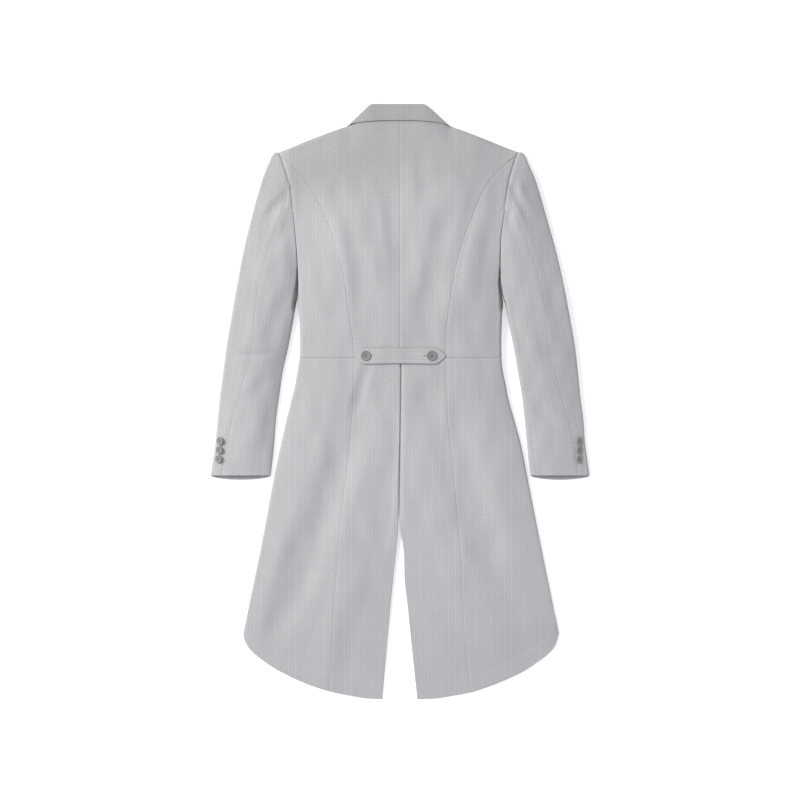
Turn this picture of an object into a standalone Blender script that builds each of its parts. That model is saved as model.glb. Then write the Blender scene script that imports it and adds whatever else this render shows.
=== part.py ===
"""A light grey morning coat (cutaway tailcoat), laid flat and face down.

+Z is up from the floor, +Y runs from the hem to the collar, and the coat's left side is at -X.
The origin is on the floor under the middle of the coat. Tables and sizes are in millimetres.
"""

from collections import namedtuple
from math import cos, pi, sin, sqrt

import bmesh
import bpy
from mathutils import Vector
from mathutils.bvhtree import BVHTree

MM = 0.001
LEFT, RIGHT = -1, 1

# ---- driving sizes -------------------------------------------------------------------------
CLOTH = 1.8                # one layer of suiting with its interlining
SEAM_GAP = 0.3             # between pieces at a seam
LAYER = CLOTH + SEAM_GAP   # from one laid layer to the next

SLEEVE_HEAD = 461.0        # the shoulder's tip, where the armhole starts
PRINCESS_TOP = 452.0       # the princess seam runs into the armhole here
HIND_TOP = 396.0           # the sleeve's hind seam runs into the armhole here
ARMPIT = 215.0             # foot of the armhole
WAIST = 79.5               # waist seam
BODY_FOOT = WAIST + SEAM_GAP
HEM_BAND = -400.0          # last straight section above the curved hem
CUFF = -138.0              # end of the sleeve
CUFF_BULGE = 9.0           # the cuff's lower layer shows this far past the upper one
COLLAR_OFF = 6.3           # the collar lies this much nearer the middle on the right
LAPEL_PEAK = 466.0
COLLAR_FOOT = 486.0        # below this the lapel lies under the forepart, above it the collar does
COLLAR_REACH = 135.0       # how far out the collar's floor stretch goes
BREAK = 112.0              # foot of the lapel's roll line
VENT_TOP = 68.0            # the centre-back seam opens here

FOLD_RADIUS = 5.0          # half the height of the cloth's turn at a side fold
BODY_ROLL = 62.0           # how far in from a side fold the top still rounds down
SHOULDER_ROLL = 44.0
SLEEVE_ROLL = 46.0
UNDER_WRAP = 24.0          # the side body reaches this far under the coat
SHOULDER_WRAP = 11.0       # the back reaches this far over the shoulder
SLEEVE_WRAP = 16.0         # the under sleeve reaches this far under the sleeve
LOFT_AT = 95.0             # the shoulder blades' distance from the centre back
NECK_POINT = 95.0          # where the neck seam meets the shoulder
COLLAR_ROOM = 3.2          # the stand's crease inside the fall's
BLADE_SPREAD = 110.0       # from the armhole to the full height of the back
EDGE_EASE = 40.0           # folds start this far inside an edge
LAPEL_CLEAR = 3.5          # the forepart leaves the floor this far outside the lapel
LAPEL_RAMP = 16.0
BUTTON_ROOM = 4.2          # the foreparts ride this high over the front button

BELT_LENGTH = 168.6
BELT_WIDTH = 30.7
BELT_POINT = 21.0          # length of each pointed end
BELT_THICK = 2.4
BELT_MIDDLE = 83.4         # height of the belt's middle on the back
BELT_BUTTON_AT = 61.0
BELT_BUTTON = 18.5         # diameter
CUFF_BUTTON = 15.4
CUFF_BUTTON_STEP = 16.7
CUFF_BUTTON_FIRST = -108.0
CUFF_BUTTON_OUT = 333.5    # the row runs straight, near the sleeve's outer fold
CUFF_BUTTON_TILT = 38.0    # degrees that the row leans over the fold
FRONT_BUTTON = 20.0
FRONT_BUTTON_AT = (0.0, 96.0, 3.9)
BUTTON_THICK = 3.2

CLOTH_GREY = (0.36, 0.355, 0.375)
BUTTON_GREY = (0.24, 0.245, 0.24)

# ---- tables: one row for each section of the coat --------------------------------------------
Pair = namedtuple("Pair", "y left right")          # distances from the centre line, per side
Along = namedtuple("Along", "out left right")      # heights up the coat at a distance out, per side
Loft = namedtuple("Loft", "y centre crown")        # heights of the top layer
Height = namedtuple("Height", "y height")
Fold = namedtuple("Fold", "x0 y0 x1 y1 width rise")
Station = namedtuple("Station", "where ax ay bx by")

SIDE_FOLD = (
    Pair(215, 188.5, 184.5), Pair(180, 187.5, 188.5), Pair(142, 186.5, 191), Pair(110, 185.3, 189.3),
    Pair(76, 187, 189), Pair(54, 191, 191), Pair(31, 194.5, 196), Pair(9, 200, 200),
    Pair(-35, 211, 212), Pair(-80, 221, 224), Pair(-146, 235, 237), Pair(-265, 257, 260.5),
    Pair(-383, 281, 284.5), Pair(-431, 290.5, 294),
)
ARMHOLE = (
    Pair(215, 188.5, 184.5), Pair(265, 190, 185), Pair(303, 193, 186.5), Pair(340, 196.5, 191.5),
    Pair(380, 200, 197), Pair(409, 206, 202), Pair(441, 216, 211.5), Pair(461, 224, 218.5),
)
PRINCESS = (
    Pair(80, 84, 84), Pair(122, 88, 85), Pair(159, 93, 89), Pair(242, 106, 102.5),
    Pair(308, 124, 121), Pair(340, 137, 133.5), Pair(375, 154, 148), Pair(407, 174, 167),
    Pair(434, 197, 192.5), Pair(444, 209.5, 203.5), Pair(452, 220.5, 215.5),
)
TAIL_SEAM = (
    Pair(-536, 130, 131), Pair(-484, 127, 125), Pair(-419, 125, 119), Pair(-303, 116, 114),
    Pair(-229, 111, 108), Pair(-128, 98, 99), Pair(-26, 88, 88.5), Pair(80, 84, 84),
)
# signed x of each tail's edge on the vent; the left edge closes on the right one above -240
VENT_EDGE = (
    Pair(-550.5, -35, 33), Pair(-461, -26.2, 23.2), Pair(-383, -18.5, 14.8), Pair(-324, -11.2, 9.3),
    Pair(-265, -5, 3.7), Pair(-240, -3.9, -0.9), Pair(-200, -3.2, -2.6), Pair(0, -0.2, 0.2),
    Pair(68, 0.3, 0.7),
)
CUTAWAY = (
    Pair(-400, 276, 280), Pair(-300, 222, 225), Pair(-200, 156, 158), Pair(-120, 106, 106),
    Pair(-60, 70, 70), Pair(0, 36, 36), Pair(40, 12, 12), Pair(80, -8, -8),
)
HEM = (
    Along(33, -550.5, -550.5), Along(57, -549.5, -549.8), Along(105, -542, -543),
    Along(133, -535.5, -537.5), Along(165, -525.5, -527), Along(200, -511, -513),
    Along(228, -496.5, -499.5), Along(254, -480, -483),
)
SLEEVE_OUTER = (
    Pair(-138, 350, 350), Pair(-109, 346, 346), Pair(-80, 342, 342), Pair(-35, 337.5, 338.5),
    Pair(9, 333, 333), Pair(54, 327, 328.5), Pair(98, 321.5, 323.5), Pair(142, 314, 316),
    Pair(209, 302.5, 303.5), Pair(276, 290, 288.5), Pair(342, 274, 270), Pair(409, 255, 250),
    Pair(438, 244, 237.5), Pair(453, 237, 231), Pair(461, 230, 225),
)
SLEEVE_INNER = (
    Pair(-138, 239.5, 241.5), Pair(-109, 236, 237.5), Pair(-80, 233, 235), Pair(-35, 229.5, 230.5),
    Pair(9, 223.5, 225.5), Pair(54, 216, 218), Pair(98, 204, 210.5), Pair(142, 194.5, 202),
    Pair(180, 190.5, 193.5), Pair(215, 188.8, 184.8),
)
HIND_SEAM = (
    Pair(-138, 330, 330), Pair(-116, 327.5, 328), Pair(-60, 316, 318), Pair(20, 293, 296),
    Pair(99, 273.5, 276), Pair(196, 263, 264), Pair(250, 252, 250), Pair(310, 232, 227),
    Pair(372, 209, 204), Pair(396, 203, 199.5),
)
ROLL_LINE = (
    Pair(112, 4, 4), Pair(200, 18, 18), Pair(325, 37, 37), Pair(470, 52, 52), Pair(500, 56, 56),
)
LAPEL_EDGE = (
    Pair(112, 14, 14), Pair(135, 34, 34), Pair(165, 57, 57), Pair(200, 79, 79), Pair(240, 98, 98),
    Pair(325, 127, 127), Pair(415, 146, 146), Pair(466, 152, 152),
)
SHOULDER = (
    Along(95, 505.5, 505.5), Along(104, 505.6, 504.6), Along(114, 503.8, 502.1),
    Along(218.5, 463.1, 461), Along(224, 461, 458.9),
)
OUTLINE_TOP = (
    Along(0, 551, 551), Along(44, 551, 551), Along(50, 551, 548.6), Along(61, 545.5, 539.8),
    Along(80, 528, 521.9), Along(98, 510.5, 507.4), Along(114, 504, 502.7),
    Along(218.5, 463.3, 461.2), Along(228, 461, 461),
)
NECK_SEAM = (
    Along(0, 525.6, 525.6), Along(41, 522.1, 521.1), Along(47, 521.2, 519.6),
    Along(65, 516.4, 514.6), Along(95, 505.5, 505.5),
)

BODY_LOFT = (
    Loft(-551, 2.8, 2.8), Loft(-400, 3.2, 7.5), Loft(-300, 3.8, 10), Loft(-200, 4.6, 13),
    Loft(-120, 6, 16), Loft(-60, 8, 18), Loft(0, 13, 20.5), Loft(40, 19, 22), Loft(80, 22.5, 23),
    Loft(100, 23, 24), Loft(150, 25.5, 28), Loft(215, 29, 32), Loft(280, 31, 35),
    Loft(340, 30.5, 35), Loft(400, 28.5, 32), Loft(450, 24, 28), Loft(500, 20, 21),
    Loft(551, 19, 19),
)
ARMHOLE_HEIGHT = (
    Height(215, 22), Height(300, 25), Height(360, 25), Height(407, 24), Height(444, 21),
    Height(461, 18),
)
SLEEVE_HEIGHT = (
    Height(-138, 18.5), Height(-110, 19), Height(-60, 21), Height(0, 23), Height(50, 24.5),
    Height(100, 26), Height(215, 29), Height(342, 29), Height(409, 26), Height(461, 18),
)

# the largest folds of the top layer, from one end to the other; a trough has a rise below zero
FOLDS = (
    Fold(-46, 363, -9, 224, 26, -2.6), Fold(-120, 363, -83, 224, 24, -2.4),
    Fold(31, 418, 56, 224, 24, -2.2), Fold(83, 363, 56, 233, 26, -2.4),
    Fold(-70, 48, -157, -192, 30, -3.6), Fold(-157, -192, -250, -433, 34, -3.0),
    Fold(-37, -63, -130, -470, 26, -1.8), Fold(93, -91, 200, -368, 32, -3.0),
    Fold(111, -35, 241, -350, 30, 2.2), Fold(-160, 10, -235, -300, 32, 2.4),
)
SLEEVE_FOLDS = (
    Fold(-213, 372, -237, 350, 11, -2.4), Fold(-318, 85, -222, 86, 10, -2.2),
    Fold(-241, 54, -290, -8, 14, -2.4), Fold(-262, 190, -240, 120, 18, -2.0),
    Fold(202, 400, 228, 357, 12, -2.4), Fold(281, 190, 300, 81, 20, -2.2),
    Fold(240, 90, 300, 60, 12, -1.8),
)

# rows across the pieces; the panels that meet in a seam share them
BACK_COLUMNS = (0, 47, NECK_POINT, 134)
SHOULDER_ROWS = (SLEEVE_HEAD, 459.5, 456, PRINCESS_TOP)
UPPER_ROWS = (446, 438, 425, 407, 390, 370, 348, 325, 300, 275, 250, 232, ARMPIT)
LOWER_ROWS = (190, 160, 130, 104, BODY_FOOT)
FRONT_ROWS = (190, 160, 130, BREAK, 96, BODY_FOOT)
SKIRT_ROWS = (62, 36, 5, -30, -65, -105, -146, -185, -225, -265, -303, -340, -372, HEM_BAND)
HEM_STEPS = (0.28, 0.55, 0.8, 1.0)
SLEEVE_ROWS = (190, 160, 130, 104, 85, 65, 40, 10, -22, -55, -85, -112, CUFF)
LAPEL_ROWS = (BREAK, 135, 165, 200, 240, 282, 325, 370, 415, 457)


# ---- small tools -----------------------------------------------------------------------------
def through(table, key, column):
    """The smooth function that passes through one column of a table."""
    rows = sorted(table, key=lambda row: getattr(row, key))
    xs = [getattr(row, key) for row in rows]
    ys = [getattr(row, column) for row in rows]
    steps = [(ys[i + 1] - ys[i]) / (xs[i + 1] - xs[i]) for i in range(len(xs) - 1)]
    slopes = [steps[0]]
    for before, after in zip(steps, steps[1:]):
        slopes.append(0.0 if before * after <= 0 else 2 * before * after / (before + after))
    slopes.append(steps[-1])

    def at(x):
        i = 0
        while i < len(xs) - 2 and x > xs[i + 1]:
            i += 1
        width = xs[i + 1] - xs[i]
        t = min(max((x - xs[i]) / width, 0.0), 1.0)
        rise = (1 + 2 * t) * (1 - t) ** 2 * ys[i] + t * t * (3 - 2 * t) * ys[i + 1]
        return rise + t * (1 - t) ** 2 * width * slopes[i] - t * t * (1 - t) * width * slopes[i + 1]

    return at


def both_sides(table):
    """The table's smooth function for each side of the coat."""
    left = through(table, table[0]._fields[0], "left")
    right = through(table, table[0]._fields[0], "right")
    return lambda side, y: left(y) if side == LEFT else right(y)


side_fold = both_sides(SIDE_FOLD)
armhole = both_sides(ARMHOLE)
princess = both_sides(PRINCESS)
tail_seam = both_sides(TAIL_SEAM)
vent_edge = both_sides(VENT_EDGE)
cutaway = both_sides(CUTAWAY)
hem = both_sides(HEM)
sleeve_outer = both_sides(SLEEVE_OUTER)
sleeve_inner = both_sides(SLEEVE_INNER)
hind_seam = both_sides(HIND_SEAM)
roll_line = both_sides(ROLL_LINE)
lapel_edge = both_sides(LAPEL_EDGE)
shoulder = both_sides(SHOULDER)
outline_top = both_sides(OUTLINE_TOP)
neck_seam = both_sides(NECK_SEAM)
centre_loft = through(BODY_LOFT, "y", "centre")
crown_loft = through(BODY_LOFT, "y", "crown")
armhole_height = through(ARMHOLE_HEIGHT, "y", "height")
sleeve_height = through(SLEEVE_HEIGHT, "y", "height")


def mix(a, b, t):
    return a + (b - a) * t


def ease(t):
    """0 to 1 with soft ends."""
    t = min(max(t, 0.0), 1.0)
    return t * t * (3 - 2 * t)


def rounded(t):
    """A quarter circle's height at t of its width."""
    t = min(max(t, 0.0), 1.0)
    return sqrt(1 - (1 - t) ** 2)


def turn(count):
    """Steps from 0 to 1 that crowd towards 0, as round a quarter circle."""
    return [1 - cos(0.5 * pi * i / count) for i in range(count + 1)]


def folds(table, x, y):
    """How far the soft folds lift the cloth at a point."""
    total = 0.0
    for fold in table:
        along = Vector((fold.x1 - fold.x0, fold.y1 - fold.y0))
        t = (Vector((x - fold.x0, y - fold.y0)).dot(along)) / along.length_squared
        near = Vector((fold.x0, fold.y0)) + along * min(max(t, 0.0), 1.0)
        away = (Vector((x, y)) - near).length / fold.width
        if away < 1:
            total += fold.rise * (1 - away * away) ** 2
    return total


# ---- the coat's surfaces ---------------------------------------------------------------------
def shoulder_turn(side, x, y, inset=0.0):
    """How far the cloth has risen from the turn along the shoulders and the collar's crease."""
    return rounded((0.9 * (outline_top(side, abs(x)) - y) - inset) / SHOULDER_ROLL)


def valley(y):
    """How deep the armhole's ditch is: nothing on the blades, down to the floor at the armpit."""
    return ease((305 - y) / (305 - ARMPIT))


def body_top(side, x, y, inset=0.0):
    """Height of the back's outer face."""
    out = abs(x)
    lofted = mix(centre_loft(y), crown_loft(y), ease(out / LOFT_AT))
    edge = armhole(side, y) if y > ARMPIT else side_fold(side, max(y, SIDE_FOLD[-1].y))
    inward = max(edge - out, 0.0)
    rolled = mix(FOLD_RADIUS, lofted, rounded(inward / BODY_ROLL))
    if y > ARMPIT:
        spread = mix(armhole_height(y), lofted, ease(inward / BLADE_SPREAD))
        rolled = mix(spread, rolled, valley(y))
        rolled = mix(FOLD_RADIUS, rolled, shoulder_turn(side, x, y, inset))
    return rolled + folds(FOLDS, x, y) * ease(inward / EDGE_EASE)


def sleeve_top(side, x, y):
    """Height of the sleeve's outer face."""
    outer = sleeve_outer(side, y)
    inner = armhole(side, y) if y > ARMPIT else sleeve_inner(side, y)
    roll = min(SLEEVE_ROLL, 0.85 * (outer - inner))
    from_outer = rounded((outer - abs(x)) / roll)
    inward = max(abs(x) - inner, 0.0)
    height = sleeve_height(y)
    rolled = mix(FOLD_RADIUS, height, from_outer * rounded(inward / roll))
    if y > ARMPIT:
        spread = mix(FOLD_RADIUS, mix(armhole_height(y), height, ease(inward / 50)), from_outer)
        rolled = mix(spread, rolled, valley(y))
        rolled = mix(FOLD_RADIUS, rolled, shoulder_turn(side, min(abs(x), 228), y))
    return rolled + folds(SLEEVE_FOLDS, x, y) * ease(inward / 12) * from_outer


def turned_out(side, y):
    """How far out the turned-out lapel, or the collar above it, lies under the forepart."""
    return (lapel_edge(side, min(y, LAPEL_PEAK)) if y < COLLAR_FOOT else COLLAR_REACH) + LAPEL_CLEAR


def under(side, x, y):
    """Height of the underside's outer face, which rides over the lapels, collar and button."""
    past = (turned_out(side, y) + LAPEL_RAMP - side * x) / LAPEL_RAMP
    over_lapel = LAYER * min(max(past, 0.0), 1.0) * ease((y - WAIST) / 30)
    over_button = BUTTON_ROOM + (LAYER if side == RIGHT else 0.0)
    over_button *= min(max((40 - abs(x)) / 20, 0.0), 1.0)
    over_button *= min(ease((y - 20) / 50), ease((170 - y) / 50))
    return max(over_lapel, over_button)


# ---- making the pieces -----------------------------------------------------------------------
def paint(name, colour, roughness):
    material = bpy.data.materials.new(name)
    material.use_nodes = True
    shader = material.node_tree.nodes["Principled BSDF"]
    shader.inputs["Base Color"].default_value = (*colour, 1.0)
    shader.inputs["Roughness"].default_value = roughness
    shader.inputs["Metallic"].default_value = 0.0
    return material


def add_object(name, mesh, material):
    mesh.materials.append(material)
    piece = bpy.data.objects.new(name, mesh)
    bpy.context.scene.collection.objects.link(piece)
    piece.parent = COAT
    return piece


def cloth(name, rows, side=RIGHT, thickness=CLOTH):
    """A cloth piece from rows of points on its outer face. None is a place with no cloth.

    The rows run down the coat and their points outwards. The wall's thickness lies inside them.
    """
    if side == RIGHT:
        rows = rows[::-1]
    points, index = [], {}
    for i, row in enumerate(rows):
        for j, point in enumerate(row):
            if point is not None:
                index[i, j] = len(points)
                points.append(Vector(point))
    faces = []
    for i in range(len(rows) - 1):
        for j in range(len(rows[0]) - 1):
            corners = ((i, j), (i, j + 1), (i + 1, j + 1), (i + 1, j))
            if all(corner in index for corner in corners):
                faces.append([index[corner] for corner in corners])
    lean = [Vector() for _ in points]
    for face in faces:
        across = points[face[2]] - points[face[0]]
        normal = across.cross(points[face[3]] - points[face[1]]).normalized()
        for corner in face:
            lean[corner] += normal
    edges = {pair for face in faces for pair in zip(face, face[1:] + face[:1])}
    border = sorted((a, b) for a, b in edges if (b, a) not in edges)
    lean = [n.normalized() for n in lean]
    for a, _ in border:
        if abs(lean[a].z) > 0.6:
            lean[a] = Vector((0, 0, 1 if lean[a].z > 0 else -1))
    inner = [point - n * thickness for point, n in zip(points, lean)]
    count = len(points)
    shell = faces + [[corner + count for corner in reversed(face)] for face in faces]
    shell += [[b, a, a + count, b + count] for a, b in border]
    mesh = bpy.data.meshes.new(name)
    mesh.from_pydata([point * MM for point in points + inner], [], shell)
    mesh.validate()
    return add_object(name, mesh, WOOL)


def back_edge(side, y):
    """Outer edge of the back panel: armhole, princess seam, then the tail's seam."""
    if y >= PRINCESS_TOP:
        return armhole(side, y)
    return princess(side, y) if y > WAIST else tail_seam(side, y)


def neck_or_shoulder(side, out):
    return neck_seam(side, out) if out < NECK_POINT else shoulder(side, out)


def back_panel(side):
    """The back from the neck to the tail's hem, in one, with its turn over the shoulder."""
    name = "back_left" if side == LEFT else "back_right"
    tip = armhole(side, SLEEVE_HEAD)
    parts = [out / tip for out in BACK_COLUMNS] + [1.0]
    starts = [neck_or_shoulder(side, part * tip) for part in parts]
    rows = []
    for reach, low in ((SHOULDER_WRAP, 0.0), (FOLD_RADIUS, 0.0), (1.2, 0.35)):
        row = []
        for part, y in zip(parts, starts):
            x = side * (part * armhole(side, SLEEVE_HEAD - reach) - SEAM_GAP * 0.5)
            z = mix(under(side, x, y - reach), FOLD_RADIUS, low)
            row.append((x, y - reach, z) if part * tip > NECK_POINT - 1 else None)
        rows.append(row)
    for y in SHOULDER_ROWS + UPPER_ROWS + LOWER_ROWS:
        t = (SLEEVE_HEAD - y) / (SLEEVE_HEAD - BODY_FOOT)
        row = []
        for part, start in zip(parts, starts):
            here = mix(start, BODY_FOOT, t)
            x = side * (mix(0, back_edge(side, y), part) + SEAM_GAP * (0.5 - part))
            inset = COLLAR_ROOM if abs(x) < NECK_POINT + 5 else 0.0
            on_crease = t == 0 and part * tip > NECK_POINT - 1
            row.append((x, here, FOLD_RADIUS if on_crease else body_top(side, x, here, inset)))
        rows.append(row)
    for y in SKIRT_ROWS:
        rows.append([top_point(side, x, y) for x in across_tail(side, y, parts)])
    ends = [(x, hem(side, abs(x))) for x in across_tail(side, -545, parts)]
    rows += hem_rows(rows[-1], ends)
    return cloth(name, rows, side)


def across_tail(side, y, parts):
    inner = vent_edge(side, y) if y < VENT_TOP else side * SEAM_GAP * 0.5
    outer = side * (tail_seam(side, y) - SEAM_GAP * 0.5)
    return [mix(inner, outer, part) for part in parts]


def top_point(side, x, y):
    return (x, y, body_top(side, x, y))


def hem_rows(last, ends):
    """Rows that run from the last straight section to the points of the curved hem."""
    rows = []
    for step in HEM_STEPS:
        row = []
        for start, end in zip(last, ends):
            z = mix(start[2] - folds(FOLDS, start[0], start[1]), CLOTH + 1.0, ease(step))
            x, y = mix(start[0], end[0], step), mix(start[1], end[1], step)
            row.append((x, y, z + 0.6 * folds(FOLDS, x, y)))
        rows.append(row)
    return rows


def side_columns(side, inner, edge, y, count):
    """Points from a seam on the top to the side fold, closer together at the fold."""
    width = edge - inner
    return [top_point(side, side * (edge - width * part), y) for part in reversed(turn(count))]


def wrapped(side, edge, y, end, count):
    """Points from just under the side fold, flat along the underside, to a seam or an edge."""
    points = []
    for angle in (45, 90):
        inward = FOLD_RADIUS * (1 - cos(angle * pi / 180))
        x = side * (edge - inward)
        low = under(side, x, y)
        points.append((x, y, mix(FOLD_RADIUS, low, sin(angle * pi / 180))))
    start = edge - FOLD_RADIUS
    near = min(max(end + 9, 18), mix(start, end, 0.75))
    stops = [end] if count == 1 else [mix(start, near, 0.5), near, end]
    for x in stops:
        points.append((side * x, y, under(side, side * x, y)))
    return points


def side_body(side):
    """The side body, from the armhole to the waist, round the side fold to the underside."""
    name = "side_body_left" if side == LEFT else "side_body_right"
    rows = []
    for y in UPPER_ROWS + LOWER_ROWS:
        inner = princess(side, y) + SEAM_GAP * 0.5
        edge = (armhole(side, y) if y > ARMPIT else side_fold(side, y)) - SEAM_GAP * 0.5
        below = wrapped(side, edge, y, edge - UNDER_WRAP, 1) if y <= ARMPIT else [None] * 3
        rows.append(side_columns(side, inner, edge, y, 4) + below)
    return cloth(name, rows, side)


def skirt(side):
    """The skirt, from the waist seam to the hem, round the side fold to the cutaway edge."""
    name = "skirt_left" if side == LEFT else "skirt_right"
    rows = []
    for y in (WAIST,) + SKIRT_ROWS:
        inner = tail_seam(side, y) + SEAM_GAP * 0.5
        edge = side_fold(side, y)
        cut = min(cutaway(side, y), edge - 9)
        rows.append(side_columns(side, inner, edge, y, 4) + wrapped(side, edge, y, cut, 3))
    seam = side * (tail_seam(side, -537) + SEAM_GAP * 0.5)
    corner = side * side_fold(side, -431)
    ends = [(seam, hem(side, abs(seam))), (side * 200, hem(side, 200)), (side * 254, hem(side, 254)),
            (corner - side * 11, -457), (corner, -434)]
    for row in hem_rows(rows[-1][:5], ends):
        rows.append(row + [None] * 5)
    return cloth(name, rows, side)


def front(side):
    """The forepart underneath, from the shoulder to the waist, inside the lapel."""
    name = "front_left" if side == LEFT else "front_right"
    tip = armhole(side, SLEEVE_HEAD)
    tops = [(56, 499)]
    for out in BACK_COLUMNS[2:] + (tip,):
        narrowed = out * armhole(side, SLEEVE_HEAD - SHOULDER_WRAP) / tip
        tops.append((narrowed, shoulder(side, out) - SHOULDER_WRAP - SEAM_GAP))
    tops.insert(3, [mix(a, b, 0.5) for a, b in zip(tops[2], tops[3])])
    highest = tops[-1][1]
    rows = []
    for y in (highest,) + UPPER_ROWS + FRONT_ROWS:
        t = (highest - y) / (highest - BODY_FOOT)
        edge = armhole(side, y) - SEAM_GAP * 0.5
        if y <= ARMPIT:
            edge = side_fold(side, y) - UNDER_WRAP - 2 * SEAM_GAP
        row = []
        for i, (out, top) in enumerate(tops):
            here = mix(top, BODY_FOOT, t)
            at_lapel = roll_line(side, here) if here >= BREAK else mix(-10, 4, ease((here - 96) / 16))
            flat_from = turned_out(side, here) + LAPEL_RAMP + 1
            below = (at_lapel, turned_out(side, here), flat_from, mix(flat_from, edge, 0.5), edge)[i]
            x = side * (mix(out, below, min(t * 18, 1.0)) if i < 4 else edge)
            row.append((x, here, under(side, x, here)))
        rows.append(row)
    return cloth(name, rows, -side)


def lapel(side):
    """The turned-out lapel, flat on the floor under the forepart."""
    name = "lapel_left" if side == LEFT else "lapel_right"
    rows = []
    for y in LAPEL_ROWS:
        row = []
        for part, rise in ((0.0, 12.6), (0.36, 6.0), (0.72, 0.0), (1.0, 9.0)):
            here = y + rise * ease((y - 415) / 42)
            x = side * mix(roll_line(side, here) + 0.5, lapel_edge(side, min(here, LAPEL_PEAK)), part)
            row.append((x, here, 0.0))
        rows.append(row)
    return cloth(name, rows, side)


# the collar's fall, from the centre back round one side to the lapel: crease at a, free edge at b
FALL = (
    Station("top", 0, 551, 0, 518.5), Station("top", 30, 551, 38, 518.2),
    Station("top", 51, 550.6, 76, 514.6), Station("top", 57.5, 548.2, 92, 511.6),
    Station("fold", 61, 544.8, 99.5, 508.9),
    Station("floor", 59.4, 538.5, 101, 503), Station("floor", 57.5, 520, 108, 488),
    Station("floor", 54.5, 495, 116, 472), Station("floor", 52.6, 470.5, 123, 458.6),
)
# the stand inside it: crease at a, neck seam at b
STAND = (
    Station("top", 0, 547.6, 0, 526.2), Station("top", 30, 547.6, 23.5, 524),
    Station("top", 49, 547.2, 47, 522), Station("top", 54.5, 545.2, 71, 515.2),
    Station("fold", 57.6, 541.8, 93, 508.2),
    Station("floor", 56.8, 535.5, 92.5, 502.5), Station("floor", 56.2, 518, 76, 501.0),
    Station("floor", 55.8, 501.2, 60, 500.2),
)


def collar_x(side, out, y):
    """A place on the collar, which lies a little off the middle."""
    off = COLLAR_OFF * min(out / 50, 1.0) * ease((y - LAPEL_PEAK) / 42)
    return side * out - (off if side == RIGHT else 0.0)


def collar(name, table, inset, lift, low):
    """A strip of the collar, across the back neck and round both sides to the front."""
    rows = []
    stations = [(LEFT, s) for s in reversed(table[1:])] + [(RIGHT, s) for s in table]
    for side, s in stations:
        row = []
        for part in (0.0, 0.07, 0.22, 0.55, 1.0):
            y = mix(s.ay, s.by, part)
            x = collar_x(side, mix(s.ax, s.bx, part), y)
            z = {"fold": FOLD_RADIUS, "floor": low}.get(s.where)
            if z is None:
                z = body_top(side, x, y, inset) + lift * shoulder_turn(side, x, y, inset)
            row.append((x, y, z))
        rows.append(row)
    return cloth(name, rows, LEFT)


def cuff_end(side, x, y):
    """Where the lower layer ends below a place: at the cuff it shows past the upper layer."""
    if y != CUFF:
        return y
    outer, inner = sleeve_outer(side, CUFF), sleeve_inner(side, CUFF)
    part = min(max((outer - abs(x)) / (outer - inner), 0.0), 1.0)
    return CUFF - CUFF_BULGE * sqrt(sin(pi * part))


def top_sleeve(side):
    """The top sleeve: the outer half, from the hind seam round the outer fold to the underside."""
    name = "top_sleeve_left" if side == LEFT else "top_sleeve_right"
    rows = []
    for y in SHOULDER_ROWS + UPPER_ROWS + SLEEVE_ROWS:
        outer = sleeve_outer(side, y)
        start = (armhole(side, y) if y > HIND_TOP else hind_seam(side, y)) + SEAM_GAP * 0.5
        end = armhole(side, y) + SEAM_GAP * 0.5
        if y <= ARMPIT + SLEEVE_WRAP + 1:
            end = sleeve_inner(side, min(y, ARMPIT)) + SLEEVE_WRAP + SEAM_GAP
        row = []
        for part in reversed(turn(4)):
            x = side * (outer - (outer - start) * part)
            row.append((x, y, sleeve_top(side, x, y)))
        radius = min(FOLD_RADIUS, 0.4 * (outer - end))
        for angle in (45, 90):
            x = side * (outer - radius * (1 - cos(angle * pi / 180)))
            row.append((x, cuff_end(side, x, y), FOLD_RADIUS * (1 - sin(angle * pi / 180))))
        for part in (0.33, 0.67, 1.0):
            x = side * mix(outer - radius, end, part)
            row.append((x, cuff_end(side, x, y), 0.0))
        rows.append(row)
    return cloth(name, rows, side)


def under_sleeve(side):
    """The under sleeve: from the hind seam over the inner edge to the fore seam below."""
    name = "under_sleeve_left" if side == LEFT else "under_sleeve_right"
    rows = []
    for y in UPPER_ROWS[4:] + SLEEVE_ROWS:
        inner = (armhole(side, y) if y > ARMPIT else sleeve_inner(side, y)) + SEAM_GAP * 0.5
        start = hind_seam(side, y) - SEAM_GAP * 0.5
        row = []
        for part in reversed(turn(4)):
            x = side * (inner + (start - inner) * part)
            row.append((x, y, sleeve_top(side, x, y)))
        if y <= ARMPIT:
            for angle in (45, 90):
                x = side * (inner + FOLD_RADIUS * (1 - cos(angle * pi / 180)))
                row.append((x, cuff_end(side, x, y), FOLD_RADIUS * (1 - sin(angle * pi / 180))))
            x = side * (inner + SLEEVE_WRAP - SEAM_GAP)
            row.append((x, cuff_end(side, x, y), 0.0))
        else:
            row += [None] * 3
        rows.append(row)
    return cloth(name, rows, -side)


def surface_under(pieces):
    """The faces of some made pieces, to lay other pieces on."""
    points, faces = [], []
    for piece in pieces:
        start = len(points)
        points += [vertex.co / MM for vertex in piece.data.vertices]
        faces += [[start + v for v in face.vertices] for face in piece.data.polygons]
    return BVHTree.FromPolygons(points, faces)


def drop_on(tree, x, y):
    """The point and lean of the cloth under a place, seen from above, beside any open seam."""
    best = None
    for aside in (0.0, SEAM_GAP, -SEAM_GAP, 3 * SEAM_GAP):
        hit, lean, _, _ = tree.ray_cast(Vector((x + aside, y + aside, 200)), Vector((0, 0, -1)))
        if hit is not None and (best is None or hit.z > best[0].z + 1):
            best = Vector((x, y, hit.z)), lean
    return best


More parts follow.
